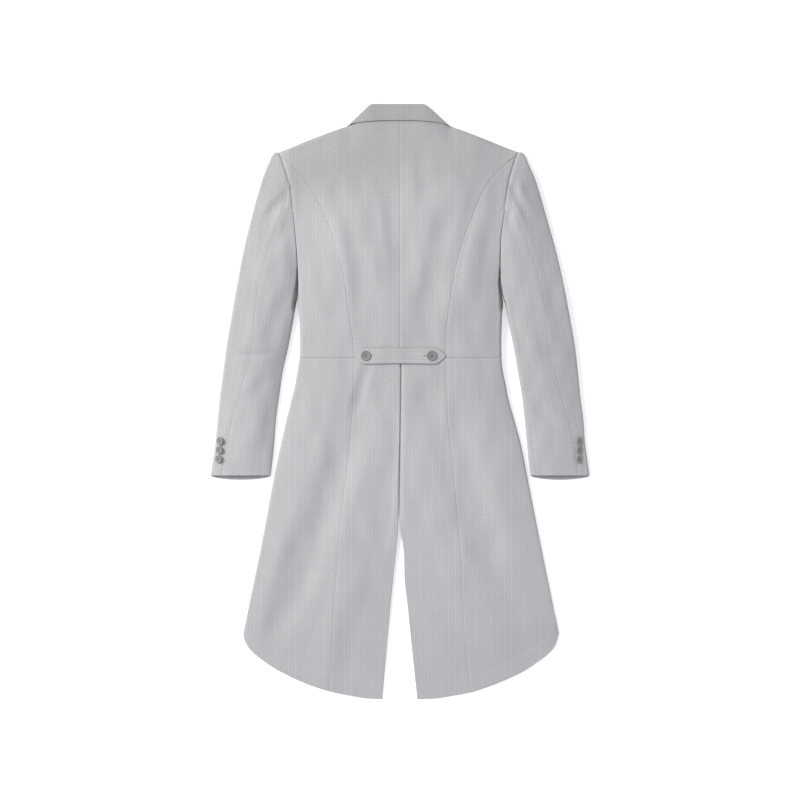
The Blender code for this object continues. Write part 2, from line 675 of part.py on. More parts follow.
def half_belt(tree):
    """The half belt, laid over the waist on the two back panels, with pointed ends."""
    half = 0.5 * BELT_LENGTH
    shoulder_at = half - BELT_POINT
    stops = [-half, -half + 0.5 * BELT_POINT] + [shoulder_at * i / 4 for i in range(-4, 5)]
    stops += [half - 0.5 * BELT_POINT, half]
    rows = []
    for x in stops:
        taper = min((half - abs(x)) / BELT_POINT, 1.0)
        across = 0.5 * BELT_WIDTH * max(taper, 0.05)
        bow = -1.4 * (1 - (x / half) ** 2)
        row = []
        for part in (-1, -0.34, 0.34, 1):
            y = BELT_MIDDLE + part * across + (bow if part < 0 else 0.0)
            hit, _ = drop_on(tree, x, y)
            row.append((x, y, hit.z + SEAM_GAP + 0.1 + BELT_THICK))
        rows.append(row)
    return cloth("half_belt", rows, RIGHT, BELT_THICK)


def button(name, centre, lean, diameter, spin=14):
    """A turned button with a raised rim and a dished middle, standing along its lean."""
    radius = 0.5 * diameter
    profile = ((0.0, 0.0), (0.8 * radius, 0.0), (radius, 0.35 * BUTTON_THICK),
               (0.97 * radius, 0.8 * BUTTON_THICK), (0.86 * radius, BUTTON_THICK),
               (0.7 * radius, 0.72 * BUTTON_THICK), (0.0, 0.66 * BUTTON_THICK))
    bm = bmesh.new()
    line = [bm.verts.new((r * MM, 0, z * MM)) for r, z in profile]
    edges = [bm.edges.new(pair) for pair in zip(line, line[1:])]
    bmesh.ops.spin(bm, geom=line + edges, axis=(0, 0, 1), cent=(0, 0, 0), angle=2 * pi, steps=spin)
    bmesh.ops.remove_doubles(bm, verts=bm.verts, dist=0.00001)
    bmesh.ops.recalc_face_normals(bm, faces=bm.faces)
    mesh = bpy.data.meshes.new(name)
    bm.to_mesh(mesh)
    bm.free()
    mesh.shade_smooth()
    mesh.set_sharp_from_angle(angle=0.6)
    piece = add_object(name, mesh, HORN)
    piece.rotation_euler = lean.to_track_quat("Z", "Y").to_euler()
    piece.location = (centre + lean * (SEAM_GAP + 0.1)) * MM
    return piece


def cuff_buttons(side, sleeve):
    """Three kissing buttons in a row, tilted over the sleeve's rounded outer edge."""
    label = "left" if side == LEFT else "right"
    tree = surface_under([sleeve])
    tilt = CUFF_BUTTON_TILT * pi / 180
    lean = Vector((side * sin(tilt), 0, cos(tilt)))
    for i in range(3):
        y = CUFF_BUTTON_FIRST + i * CUFF_BUTTON_STEP
        hit, _ = drop_on(tree, side * CUFF_BUTTON_OUT, y)
        rim, _ = drop_on(tree, side * (CUFF_BUTTON_OUT + 0.5 * CUFF_BUTTON * cos(tilt)), y)
        sunk = rim.z - (hit.z - 0.5 * CUFF_BUTTON * sin(tilt))
        seat = hit + Vector((0, 0, max(sunk, 0.0)))
        button(f"cuff_button_{label}_{i + 1}", seat, lean, CUFF_BUTTON, 12)


# ---- build -----------------------------------------------------------------------------------
for old in list(bpy.data.objects):
    bpy.data.objects.remove(old, do_unlink=True)

COAT = bpy.data.objects.new("coat", None)
bpy.context.scene.collection.objects.link(COAT)
WOOL = paint("grey_suiting", CLOTH_GREY, 0.9)
HORN = paint("grey_button", BUTTON_GREY, 0.35)

waist_cloth = []
for hand in (LEFT, RIGHT):
    waist_cloth += [back_panel(hand), side_body(hand), skirt(hand)]
    front(hand)
    lapel(hand)
    sleeve = top_sleeve(hand)
    under_sleeve(hand)
    cuff_buttons(hand, sleeve)
collar("collar_fall", FALL, 0.0, LAYER + 1.5, 0.0)
collar("collar_stand", STAND, COLLAR_ROOM, 0.0, LAYER)
belt = half_belt(surface_under(waist_cloth))
belt_faces = surface_under([belt])
for label, hand in (("left", LEFT), ("right", RIGHT)):
    seat, up = drop_on(belt_faces, hand * BELT_BUTTON_AT, BELT_MIDDLE)
    button(f"belt_button_{label}", seat, up, BELT_BUTTON)
button("front_button", Vector(FRONT_BUTTON_AT), Vector((0, 0, -1)), FRONT_BUTTON)
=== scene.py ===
"""A light grey morning coat (cutaway tailcoat), laid flat and face down on a pale floor.

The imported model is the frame: +Z is up, +Y runs from the hem to the collar, and the coat's left
side is at -X. The cloth is worked out in millimetres and written to its meshes in metres.
"""

from collections import namedtuple
from math import cos, pi, radians, sin

import bmesh
import bpy
import numpy as np
from mathutils import Matrix, Vector


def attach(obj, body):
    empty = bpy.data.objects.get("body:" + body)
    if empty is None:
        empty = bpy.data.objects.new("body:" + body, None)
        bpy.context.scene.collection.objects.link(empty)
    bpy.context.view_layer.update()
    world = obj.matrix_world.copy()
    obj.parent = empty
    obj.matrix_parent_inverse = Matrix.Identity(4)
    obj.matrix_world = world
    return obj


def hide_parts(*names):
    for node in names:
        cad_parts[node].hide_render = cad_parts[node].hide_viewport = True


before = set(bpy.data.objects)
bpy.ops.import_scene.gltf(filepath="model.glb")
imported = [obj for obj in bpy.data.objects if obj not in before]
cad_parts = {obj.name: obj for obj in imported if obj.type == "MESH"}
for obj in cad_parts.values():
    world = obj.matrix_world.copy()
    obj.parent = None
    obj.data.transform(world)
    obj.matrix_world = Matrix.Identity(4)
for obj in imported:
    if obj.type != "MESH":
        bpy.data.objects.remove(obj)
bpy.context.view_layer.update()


# ---- the studio -------------------------------------------------------------------------------
# A pale floor under an even white sky, with one broad lamp from the coat's left and a little from
# above its collar, so that soft shadows fall to the right. The camera looks straight down.
VIEW_WIDTH = 1.48            # metres across the view, at the middle of the cloth's height
VIEW_MIDDLE = (0.0, 0.00185, 0.012)
LENS, SENSOR = 120.0, 36.0
LAMP_AT = Vector((-2.95, 1.45, 2.72))
FLOOR_REACH = 6.0
FLOOR_AT = -0.0005           # just under the coat, so that no two faces share a plane


def set_sockets(node, values):
    """Set a node's sockets to constants, by name."""
    for socket, value in values.items():
        node.inputs[socket].default_value = value


eye = bpy.data.objects.new("camera", bpy.data.cameras.new("camera"))
eye.data.lens, eye.data.sensor_width = LENS, SENSOR
eye.location = Vector(VIEW_MIDDLE) + Vector((0, 0, VIEW_WIDTH * LENS / SENSOR))
bpy.context.scene.collection.objects.link(eye)
bpy.context.scene.camera = eye

lamp = bpy.data.objects.new("lamp", bpy.data.lights.new("lamp", "AREA"))
lamp.data.shape = "DISK"
lamp.data.size = 2.6
lamp.data.energy = 201.0
lamp.data.color = (1.0, 0.975, 0.925)
lamp.location = LAMP_AT
lamp.rotation_euler = LAMP_AT.to_track_quat("Z", "Y").to_euler()
bpy.context.scene.collection.objects.link(lamp)

sky = bpy.data.worlds.new("sky")
sky.use_nodes = True
set_sockets(sky.node_tree.nodes["Background"], {"Color": (0.96, 0.98, 1.025, 1.0), "Strength": 0.60})
bpy.context.scene.world = sky
bpy.context.scene.view_settings.view_transform = "Standard"

floor_mesh = bpy.data.meshes.new("floor")
corners = [(FLOOR_REACH * x, FLOOR_REACH * y, FLOOR_AT) for x, y in ((-1, -1), (1, -1), (1, 1), (-1, 1))]
floor_mesh.from_pydata(corners, [], [(0, 1, 2, 3)])
floor = bpy.data.objects.new("floor", floor_mesh)
floor_paint = bpy.data.materials.new("white floor")
floor_paint.use_nodes = True
set_sockets(floor_paint.node_tree.nodes["Principled BSDF"], {
    "Base Color": (0.93, 0.93, 0.93, 1.0), "Roughness": 0.9, "Specular IOR Level": 0.1,
    "Emission Color": (1.0, 1.0, 1.0, 1.0), "Emission Strength": 0.40})
floor_mesh.materials.append(floor_paint)
bpy.context.scene.collection.objects.link(floor)


# ---- the back ---------------------------------------------------------------------------------
# Two panels of wool suiting, each cut in one from the neck to the tail's hem, joined down the
# centre back as far as the vent. Below it the left tail's edge lies over the right one's. At the
# shoulders they turn over to the front. The cloth's sizes are those of the solids.
MM = 0.001
LEFT, RIGHT = -1, 1
SIDE_NAMES = {LEFT: "left", RIGHT: "right"}
CLOTH = 1.8                # one layer of suiting with its interlining
SEAM_GAP = 0.3
LAYER = CLOTH + SEAM_GAP
SEWN = 0.03                # a panel's sewn edge stops this far from the stitching

SLEEVE_HEAD = 461.0
PRINCESS_TOP = 452.0
ARMPIT = 215.0
WAIST = 79.5
BODY_FOOT = WAIST + SEAM_GAP
HEM_BAND = -400.0          # from here down the rows bend to the hem's curve
VENT_TOP = 68.0
VENT_OPENS = -240.0
LAPEL_PEAK = 466.0
COLLAR_FOOT = 486.0
COLLAR_REACH = 135.0

FOLD_RADIUS = 5.0
BODY_ROLL, SHOULDER_ROLL = 88.0, 58.0
# cloth rises from a turned side over a roll, and a tight turn takes up its share of the height first
Turn = namedtuple("Turn", "share roll")
SKIRT_SIDE = {LEFT: Turn(0.54, BODY_ROLL), RIGHT: Turn(0.36, 62.0)}
BODY_SIDE = {LEFT: Turn(0.74, BODY_ROLL), RIGHT: Turn(0.62, BODY_ROLL)}
SHOULDER = {LEFT: Turn(0.55, SHOULDER_ROLL), RIGHT: Turn(0.38, SHOULDER_ROLL)}
TIGHT, ARMHOLE_TIGHT, SHOULDER_TIGHT = 4.0, 1.2, 2.6     # widths of the tight turns
SHOULDER_SLANT = 0.9       # the shoulder's own distance, as part of the distance straight down
SHOULDER_WRAP = 11.0       # how far the cloth turns over to the front past the shoulder seam
LOFT_AT = 95.0             # how far out the crown of the back is
NECK_POINT = 95.0
COLLAR_ROOM = 3.2          # the back turns this far inside the collar's crease
BLADE_SPREAD = 110.0
EDGE_EASE = 40.0           # within this of an edge the folds fade out
LAPEL_CLEAR = 3.5
LAPEL_RAMP = 16.0
BUTTON_ROOM = 4.2
HEM_DROP = 1.9
HEM_TURN, HEM_RISE = 29.0, 0.4     # the turned-up allowance's depth, and how thick it shows
TAIL_REACH = 145.0         # about how far the hem is from the last straight row
EDGE_DEPTH, EDGE_ROUND = 0.7, 1.5
VENT_OVERLAP = 2.7         # how far the right tail's edge dips under the left one's
SEAM_DEPTH, TAIL_SEAM_DEPTH, ALLOWANCE_RISE = 0.34, 0.2, 0.14
ARMHOLE_DITCH = {"depth": 1.7, "reach": 2.2}

STEP = 4.2                 # between the mesh's rows
EDGE_STEPS = np.array((0.0, 0.45, 1.0, 1.8, 2.9, 4.5))     # from a seam or an edge
NO_STEPS = np.zeros(1)
BACK_ROWS, TAIL_ROWS, PANEL_COLUMNS = 84, 30, 42

Pair = namedtuple("Pair", "y left right")          # distances from the centre line, per side
Along = namedtuple("Along", "out left right")      # heights up the coat at a distance out, per side
Loft = namedtuple("Loft", "y centre crown")        # heights of the top layer
Height = namedtuple("Height", "y height")
# a fold's path runs down the coat, with its own width to the left and right; troughs fall below zero
Fold = namedtuple("Fold", "path left right rise")
Wave = namedtuple("Wave", "across along rise phase")

SIDE_FOLD = (
    Pair(215, 188.5, 184.5), Pair(192, 188.2, 189.4), Pair(180, 188.0, 191.0), Pair(160, 186.9, 189.2),
    Pair(142, 186.2, 188.6), Pair(110, 185.3, 187.8), Pair(76, 187, 188.4), Pair(54, 191, 191),
    Pair(31, 194.5, 196), Pair(9, 200, 200),
    Pair(-35, 211, 212), Pair(-80, 221, 224), Pair(-146, 235, 237), Pair(-265, 257, 260.5),
    Pair(-383, 281, 284.5), Pair(-431, 290.5, 294),
)
ARMHOLE = (
    Pair(215, 188.5, 184.5), Pair(265, 190, 185), Pair(303, 193, 186.5), Pair(340, 196.5, 191.5),
    Pair(380, 200, 197), Pair(409, 206, 202), Pair(441, 216, 211.5), Pair(461, 224, 218.5),
)
PRINCESS = (
    Pair(80, 84, 84), Pair(122, 88, 85), Pair(159, 93, 89), Pair(242, 106, 102.5),
    Pair(308, 124, 121), Pair(340, 137, 133.5), Pair(375, 154, 148), Pair(407, 174, 167),
    Pair(434, 197, 192.5), Pair(444, 209.5, 203.5), Pair(452, 220.5, 215.5),
)
TAIL_SEAM = (
    Pair(-536, 130, 131), Pair(-484, 127, 125), Pair(-419, 125, 119), Pair(-303, 116, 114),
    Pair(-229, 111, 108), Pair(-128, 98, 99), Pair(-26, 88, 88.5), Pair(80, 84, 84),
)
# signed x of each tail's edge on the vent
VENT_EDGE = (
    Pair(-550.5, -33.2, 31.8), Pair(-461, -25.0, 21.6), Pair(-383, -18.2, 14.2),
    Pair(-324, -12.2, 8.0), Pair(-290, -8.6, 7.4), Pair(-265, -5.8, 5.0), Pair(-250, -4.6, 2.4),
    Pair(-236, -3.9, -0.6), Pair(-200, -3.2, -2.6), Pair(0, -0.2, 0.2),
    Pair(68, 0.3, 0.7),
)
HEM = (
    Along(33, -550.5, -550.5), Along(57, -549.5, -549.8), Along(105, -542, -543),
    Along(133, -535.5, -537.5), Along(165, -525.5, -527), Along(200, -511, -513),
    Along(228, -496.5, -499.5), Along(254, -480, -483),
)
SHOULDER_SEAM = (
    Along(95, 508.6, 508.2), Along(104, 507, 505.6), Along(114, 504, 502.1),
    Along(218.5, 463.1, 461), Along(224, 461, 458.9),
)
OUTLINE_TOP = (
    Along(0, 551, 551), Along(44, 551, 551), Along(50, 551, 548.6), Along(61, 545.5, 539.8),
    Along(80, 528, 521.9), Along(98, 510.5, 507.4), Along(114, 504, 502.7),
    Along(218.5, 463.3, 461.2), Along(228, 461, 461),
)
NECK_SEAM = (
    Along(0, 525.6, 525.6), Along(41, 522.1, 521.1), Along(47, 521.2, 519.6),
    Along(65, 518.6, 517), Along(95, 508.6, 508.2),
)
LAPEL_EDGE = (
    Pair(112, 14, 14), Pair(135, 34, 34), Pair(165, 57, 57), Pair(200, 79, 79), Pair(240, 98, 98),
    Pair(325, 127, 127), Pair(415, 146, 146), Pair(466, 152, 152),
)
BODY_LOFT = (
    Loft(-551, 2.8, 2.8), Loft(-400, 5, 7.5), Loft(-300, 7.5, 10), Loft(-200, 11.5, 13),
    Loft(-120, 15, 16), Loft(-60, 18, 18), Loft(0, 21, 20.5), Loft(40, 22.5, 22), Loft(80, 23.5, 23),
    Loft(100, 24, 24), Loft(150, 27, 28), Loft(215, 30.5, 32), Loft(280, 33, 35),
    Loft(340, 33.5, 35), Loft(400, 31, 32), Loft(450, 27, 28), Loft(500, 21, 21),
    Loft(551, 19, 19),
)
ARMHOLE_HEIGHT = (
    Height(215, 22), Height(300, 25), Height(360, 25), Height(407, 24), Height(444, 21),
    Height(461, 18),
)
BODY_FOLDS = (
    # the left skirt and tail
    Fold(((-56, 80), (-66, 44), (-78, 0), (-92, -46)), 18, 14, -2.4),
    Fold(((-62, 50), (-80, -20), (-104, -100), (-137, -200), (-170, -290), (-203, -380), (-235, -460)),
         56, 48, -5.2),
    Fold(((-190, -160), (-226, -260), (-254, -350), (-276, -440), (-290, -520)), 40, 40, 2.4),
    Fold(((-150, -270), (-177, -330), (-203, -380), (-229, -425), (-252, -480)), 34, 30, -2.0),
    Fold(((-84, -30), (-108, -110), (-140, -210), (-164, -270)), 40, 30, -1.7),
    Fold(((-6, 60), (-12, -60), (-18, -160), (-26, -240), (-46, -330)), 44, 12, -1.4),
    Fold(((-84, -350), (-97, -430), (-106, -500), (-114, -570)), 34, 28, -1.8),
    Fold(((-74, -250), (-96, -340), (-118, -430), (-136, -520), (-148, -590)), 48, 44, 3.2),
    # the right skirt and tail
    Fold(((60, 60), (60, 0), (70, -60)), 34, 26, -1.6),
    Fold(((80, -10), (104, -110), (132, -200), (168, -280), (204, -350)), 48, 60, -5.0),
    Fold(((92, -240), (128, -330), (170, -430), (200, -520)), 60, 56, 2.6),
    Fold(((118, 20), (150, -80), (186, -200), (210, -300)), 40, 40, 1.0),
    # the back
    Fold(((-4, 260), (-4, 200), (-4, 130), (-4, 60)), 86, 54, 2.6),
    Fold(((-20, 420), (-14, 360), (-6, 300), (2, 240), (6, 170)), 28, 40, -3.8),
    Fold(((-156, 420), (-132, 365), (-114, 315), (-102, 265), (-95, 210), (-86, 150)), 15, 26, 1.5),
    Fold(((-98, 340), (-84, 285), (-74, 220), (-62, 160)), 22, 34, -1.6),
    Fold(((100, 410), (87, 340), (74, 289), (59, 200), (52, 150)), 30, 32, -3.8),
    Fold(((138, 390), (122, 330), (108, 282), (95, 220), (86, 160)), 18, 20, -1.8),
    Fold(((182, 410), (154, 345), (136, 285), (124, 225), (112, 160)), 16, 30, 1.6),
    Fold(((36, 480), (40, 430), (43, 380), (40, 340)), 18, 26, -1.3),
    Fold(((48, 180), (50, 135), (52, 90)), 34, 22, -1.8),
)
# the slow unevenness of cloth that lies by itself: wave lengths across and along the coat
BODY_SWAY = (
    Wave(62, 240, 0.30, 0.4), Wave(-85, 175, 0.28, 1.9), Wave(41, 130, 0.16, 3.1),
    Wave(-37, 210, 0.14, 5.0), Wave(120, -95, 0.20, 2.2),
)


def through(table, key, column):
    """The smooth function that passes through one column of a table."""
    rows = sorted(table, key=lambda row: getattr(row, key))
    xs = np.array([getattr(row, key) for row in rows], float)
    ys = np.array([getattr(row, column) for row in rows], float)
    steps = np.diff(ys) / np.diff(xs)
    before, after = steps[:-1], steps[1:]
    alike = before * after > 0
    middle = np.where(alike, 2 * before * after / np.where(alike, before + after, 1.0), 0.0)
    slopes = np.concatenate([steps[:1], middle, steps[-1:]])

    def at(x):
        i = np.clip(np.searchsorted(xs, x) - 1, 0, len(xs) - 2)
        width = xs[i + 1] - xs[i]
        t = np.clip((x - xs[i]) / width, 0.0, 1.0)
        level = (1 + 2 * t) * (1 - t) ** 2 * ys[i] + t * t * (3 - 2 * t) * ys[i + 1]
        return level + t * (1 - t) * width * ((1 - t) * slopes[i] - t * slopes[i + 1])

    return at


def both_sides(table):
    """The table's smooth function for each side of the coat."""
    columns = {LEFT: through(table, table[0]._fields[0], "left"),
               RIGHT: through(table, table[0]._fields[0], "right")}
    return lambda side, place: columns[side](place)


side_fold = both_sides(SIDE_FOLD)
armhole = both_sides(ARMHOLE)
princess = both_sides(PRINCESS)
tail_seam = both_sides(TAIL_SEAM)
vent_edge = both_sides(VENT_EDGE)
hem_line = both_sides(HEM)
shoulder = both_sides(SHOULDER_SEAM)
outline_top = both_sides(OUTLINE_TOP)
neck_seam = both_sides(NECK_SEAM)
lapel_edge = both_sides(LAPEL_EDGE)
centre_loft = through(BODY_LOFT, "y", "centre")
crown_loft = through(BODY_LOFT, "y", "crown")
armhole_height = through(ARMHOLE_HEIGHT, "y", "height")
TAIL_FOOT, VENT_FOOT = TAIL_SEAM[0].y, VENT_EDGE[0].y


def hem(side, out):
    """The hem's edge, which the cloth's own weight draws a little below its line."""
    return hem_line(side, out) - HEM_DROP


def mix(a, b, t):
    return a + (b - a) * t


def ease(t):
    """0 to 1 with soft ends."""
    t = np.clip(t, 0.0, 1.0)
    return t * t * (3 - 2 * t)


def fade(value, start, end):
    """0 where a value is at its start, 1 at its end, with soft ends: mostly places in mm."""
    return ease((value - start) / (end - start))


def hump(value, middle, width):
    """1 at the middle, falling away softly on both sides."""
    return np.exp(-(((value - middle) / width) ** 2))


def rounded(t):
    """A quarter circle's height at t of its width."""
    return np.sqrt(1 - (1 - np.clip(t, 0.0, 1.0)) ** 2)


def smooth_path(values, at):
    """A smooth curve through equally spaced values, whose rows are the points."""
    values = np.asarray(values, float)
    padded = np.concatenate([2 * values[:1] - values[1:2], values, 2 * values[-1:] - values[-2:-1]])
    i = np.minimum(at.astype(int), len(values) - 2)
    t = (at - i)[:, None]
    p0, p1, p2, p3 = (padded[i + k] for k in range(4))
    return p1 + 0.5 * t * (p2 - p0 + t * (2 * p0 - 5 * p1 + 4 * p2 - p3 + t * (3 * (p1 - p2) + p3 - p0)))


def turned(away, roll, share, tight=TIGHT):
    """How far cloth has risen from an edge: a tight round turn, then a long easy slope."""
    return share * rounded(away / tight) + (1 - share) * rounded(away / roll) ** 2


def turn_at(y):
    """The tight turn's width beside the armhole and the side fold: wider round the armpit."""
    return mix(TIGHT, ARMHOLE_TIGHT, fade(y, 222, 252)) + hump(y, 196, 22)


PATH_STEPS = 6             # straight steps in each stretch of a fold's path
FOLD_FADE = 0.4            # a fold fades out over this part of its length at each end


def relief(folds, x, y):
    """How far the soft folds lift the cloth. Each follows its path and fades at its two ends."""
    total = np.zeros(np.broadcast(x, y).shape)
    for fold in folds:
        stretches = len(fold.path) - 1
        pace = np.linspace(0, stretches, PATH_STEPS * stretches + 1)
        path = smooth_path(fold.path, pace)
        best, along, side = np.full(total.shape, 1e9), 0 * total, 0 * total
        for (x0, y0), (x1, y1), done in zip(path, path[1:], pace):
            dx, dy = x1 - x0, y1 - y0
            t = np.clip(((x - x0) * dx + (y - y0) * dy) / (dx * dx + dy * dy), 0, 1)
            away = np.hypot(x - x0 - t * dx, y - y0 - t * dy)
            nearer = away < best
            along = np.where(nearer, (done + t / PATH_STEPS) / stretches, along)
            side = np.where(nearer, dx * (y - y0) - dy * (x - x0), side)
            best = np.minimum(best, away)
        reach = mix(fold.left, fold.right, fade(side, -200, 200))
        across = np.clip(1 - (best / reach) ** 2, 0, 1) ** 2
        total += fold.rise * across * ease(np.minimum(along, 1 - along) / FOLD_FADE + 0.1)
    return total


def sway(waves, x, y):
    """The slow unevenness of the cloth."""
    return sum(w.rise * np.sin(2 * pi * (x / w.across + y / w.along) + w.phase) for w in waves)


def shoulder_turn(side, x, y, inset=0.0):
    """How far the cloth has risen from the turn along the shoulders and the collar's crease."""
    middle = 0.5 * (SHOULDER[LEFT].share + SHOULDER[RIGHT].share)
    share = mix(middle, SHOULDER[side].share, fade(np.abs(x), 0, 60))
    away = SHOULDER_SLANT * (outline_top(side, np.abs(x)) - y) - inset
    return turned(away, SHOULDER[side].roll, share, SHOULDER_TIGHT)


def valley(y):
    """How deep the armhole's ditch is: nothing on the blades, down to the floor at the armpit."""
    return mix(fade(y, 372, 282), fade(y, 292, ARMPIT), 0.84)


def body_top(side, x, y, inset=0.0):
    """Height of the back's outer face."""
    out = np.abs(x)
    lofted = mix(centre_loft(y), crown_loft(y), fade(out, 0, LOFT_AT))
    edge = np.where(y > ARMPIT, armhole(side, y), side_fold(side, y))
    inward = np.maximum(edge - out, 0.0)
    above_waist = fade(y, -30, 80)
    share = mix(SKIRT_SIDE[side].share, BODY_SIDE[side].share, above_waist)
    roll = mix(SKIRT_SIDE[side].roll, BODY_SIDE[side].roll, above_waist)
    rolled = mix(FOLD_RADIUS, lofted, turned(inward, roll, share, turn_at(y)))
    spread = mix(armhole_height(y), lofted, fade(inward, 0, BLADE_SPREAD))
    upper = mix(FOLD_RADIUS, mix(spread, rolled, valley(y)), shoulder_turn(side, x, y, inset))
    height = np.where(y > ARMPIT, upper, rolled)
    loose = fade(height, 4, 14) * mix(1.0, 0.4, fade(y, 400, 460))
    soft = relief(BODY_FOLDS, x, y) + sway(BODY_SWAY, x, y) * loose
    return height + soft * fade(inward, 0, EDGE_EASE)


def turned_out(side, y):
    """How far out the turned-out lapel, or the collar above it, lies under the forepart."""
    lapel = lapel_edge(side, np.minimum(y, LAPEL_PEAK))
    return np.where(y < COLLAR_FOOT, lapel, COLLAR_REACH) + LAPEL_CLEAR


def under(side, x, y):
    """Height of the underside's outer face, which rides over the lapels, collar and button."""
    past = (turned_out(side, y) + LAPEL_RAMP - side * x) / LAPEL_RAMP
    over_lapel = LAYER * np.clip(past, 0, 1) * fade(y, WAIST, WAIST + 30)
    near_button = np.clip((40 - np.abs(x)) / 20, 0, 1) * np.minimum(fade(y, 20, 70), fade(y, 170, 120))
    over_button = (BUTTON_ROOM + (LAYER if side == RIGHT else 0.0)) * near_button
    return np.maximum(over_lapel, over_button)


def pressed_seam(away, depth=SEAM_DEPTH, reach=1.0):
    """How far the cloth sinks beside a pressed seam, with the allowances' low ridge behind it."""
    return depth * hump(away, 0, reach) - ALLOWANCE_RISE * fade(away, 14, 9) * fade(away, 0, 3)


def turned_edge(away):
    """How far the cloth's face rounds off at a turned edge."""
    return EDGE_DEPTH * (1 - rounded(away / EDGE_ROUND))


def spaced(a, b, count, near_a=EDGE_STEPS, near_b=EDGE_STEPS):
    """Places from a to b, a row for each pair, as close at each end as the listed steps.

    Where a and b are near each other, the steps shrink to fit.
    """
    a, b = (np.atleast_1d(np.asarray(end, float))[:, None] for end in (a, b))
    fit = np.minimum(1.0, 0.4 * np.abs(b - a) / max(near_a[-1], near_b[-1], 0.1))
    start, stop = a + np.sign(b - a) * fit * near_a, b - np.sign(b - a) * fit * near_b[::-1]
    middle = mix(start[:, -1:], stop[:, :1], np.linspace(0, 1, count)[1:-1])
    return np.hstack([start, middle, stop])


def roll_steps(width, count):
    """Distances from a turn that crowd towards it, as round a quarter circle."""
    return width * (1 - np.cos(0.5 * pi * np.linspace(0, 1, count)))


PIECE_SHIFT = 0.37         # keeps the cloudiness of one piece from running on into the next


def cloth_place(across, along, number):
    """Cloth coordinates in metres: across the stripes, along them, and the piece's own place."""
    return np.stack([across * MM, along * MM, np.full(across.shape, number * PIECE_SHIFT)], -1)


def grain_of(points, number):
    """The cloth's coordinates on a panel, whose stripes run straight down the coat."""
    steps = np.nan_to_num(np.diff(points, axis=1))
    width = np.cumsum(np.hypot(steps[..., 0], steps[..., 2]), axis=1)
    first = np.argmax(np.isfinite(points[..., 0]), axis=1)
    start = np.abs(points[np.arange(len(points)), first, 0])[:, None]
    across = start + np.hstack([np.zeros((len(points), 1)), width])
    return cloth_place(across, points[..., 1], number)


# the deep crease at each armpit, darkened with painted shade: how far out it runs, and how much further
# for each mm down
Crease = namedtuple("Crease", "out slant")
ARMPIT_CREASE = {LEFT: Crease(191.5, 0.13), RIGHT: Crease(185.4, 0.03)}
# how much painted shade darkens the armpits' creases
CREASE_DARK = 0.55
SHOULDERS_DARK, LEFT_DARKER = 0.155, 0.06      # painted shade over the shoulders, and how much more to the left
SLEEVE_PALER = 0.65                            # the left sleeve's head has less of that painted shade
# painted light: how much paler the skirts, the tails and the right side are made
SKIRTS_PALE, TAILS_PALE, RIGHT_PALER = 0.040, 0.016, 0.012


def painted_light_and_shade(x, y, z):
    """Painted light and shade in the cloth's colour: painted shade over the shoulders and in the
    armpits' creases, painted light low down.
    """
    down = np.clip(ARMPIT + 1 - y, 0, 60)
    middle = np.where(x < 0, *(ARMPIT_CREASE[hand].out + ARMPIT_CREASE[hand].slant * down
                               for hand in (LEFT, RIGHT)))
    away = np.abs(np.abs(x) - middle) / mix(1.0, 3.9, fade(y, 232, 202))
    painted_shade = CREASE_DARK * fade(away, 1.5, 0.5) * fade(z, 0.5, 3.5)
    painted_shade = painted_shade * fade(y, 250, 236) * fade(y, 160, 176)
    shoulders = fade(y + 0.2 * np.abs(x), 350, 480) * (1 - SLEEVE_PALER * fade(x, -195, -215))
    shoulders = shoulders * (SHOULDERS_DARK - LEFT_DARKER * np.clip(x / 160, -1, 1))
    skirts = fade(y, 30, -70) * mix(SKIRTS_PALE, TAILS_PALE, fade(y, -160, -360))
    skirts = skirts + RIGHT_PALER * fade(y, 40, -160) * fade(x, -80, 40)
    return (1 + skirts - shoulders) * (1 - painted_shade)


LEVEL_RIM = 0.6            # the least upward part of a level rim's normal
SHARP_EDGE = radians(58)


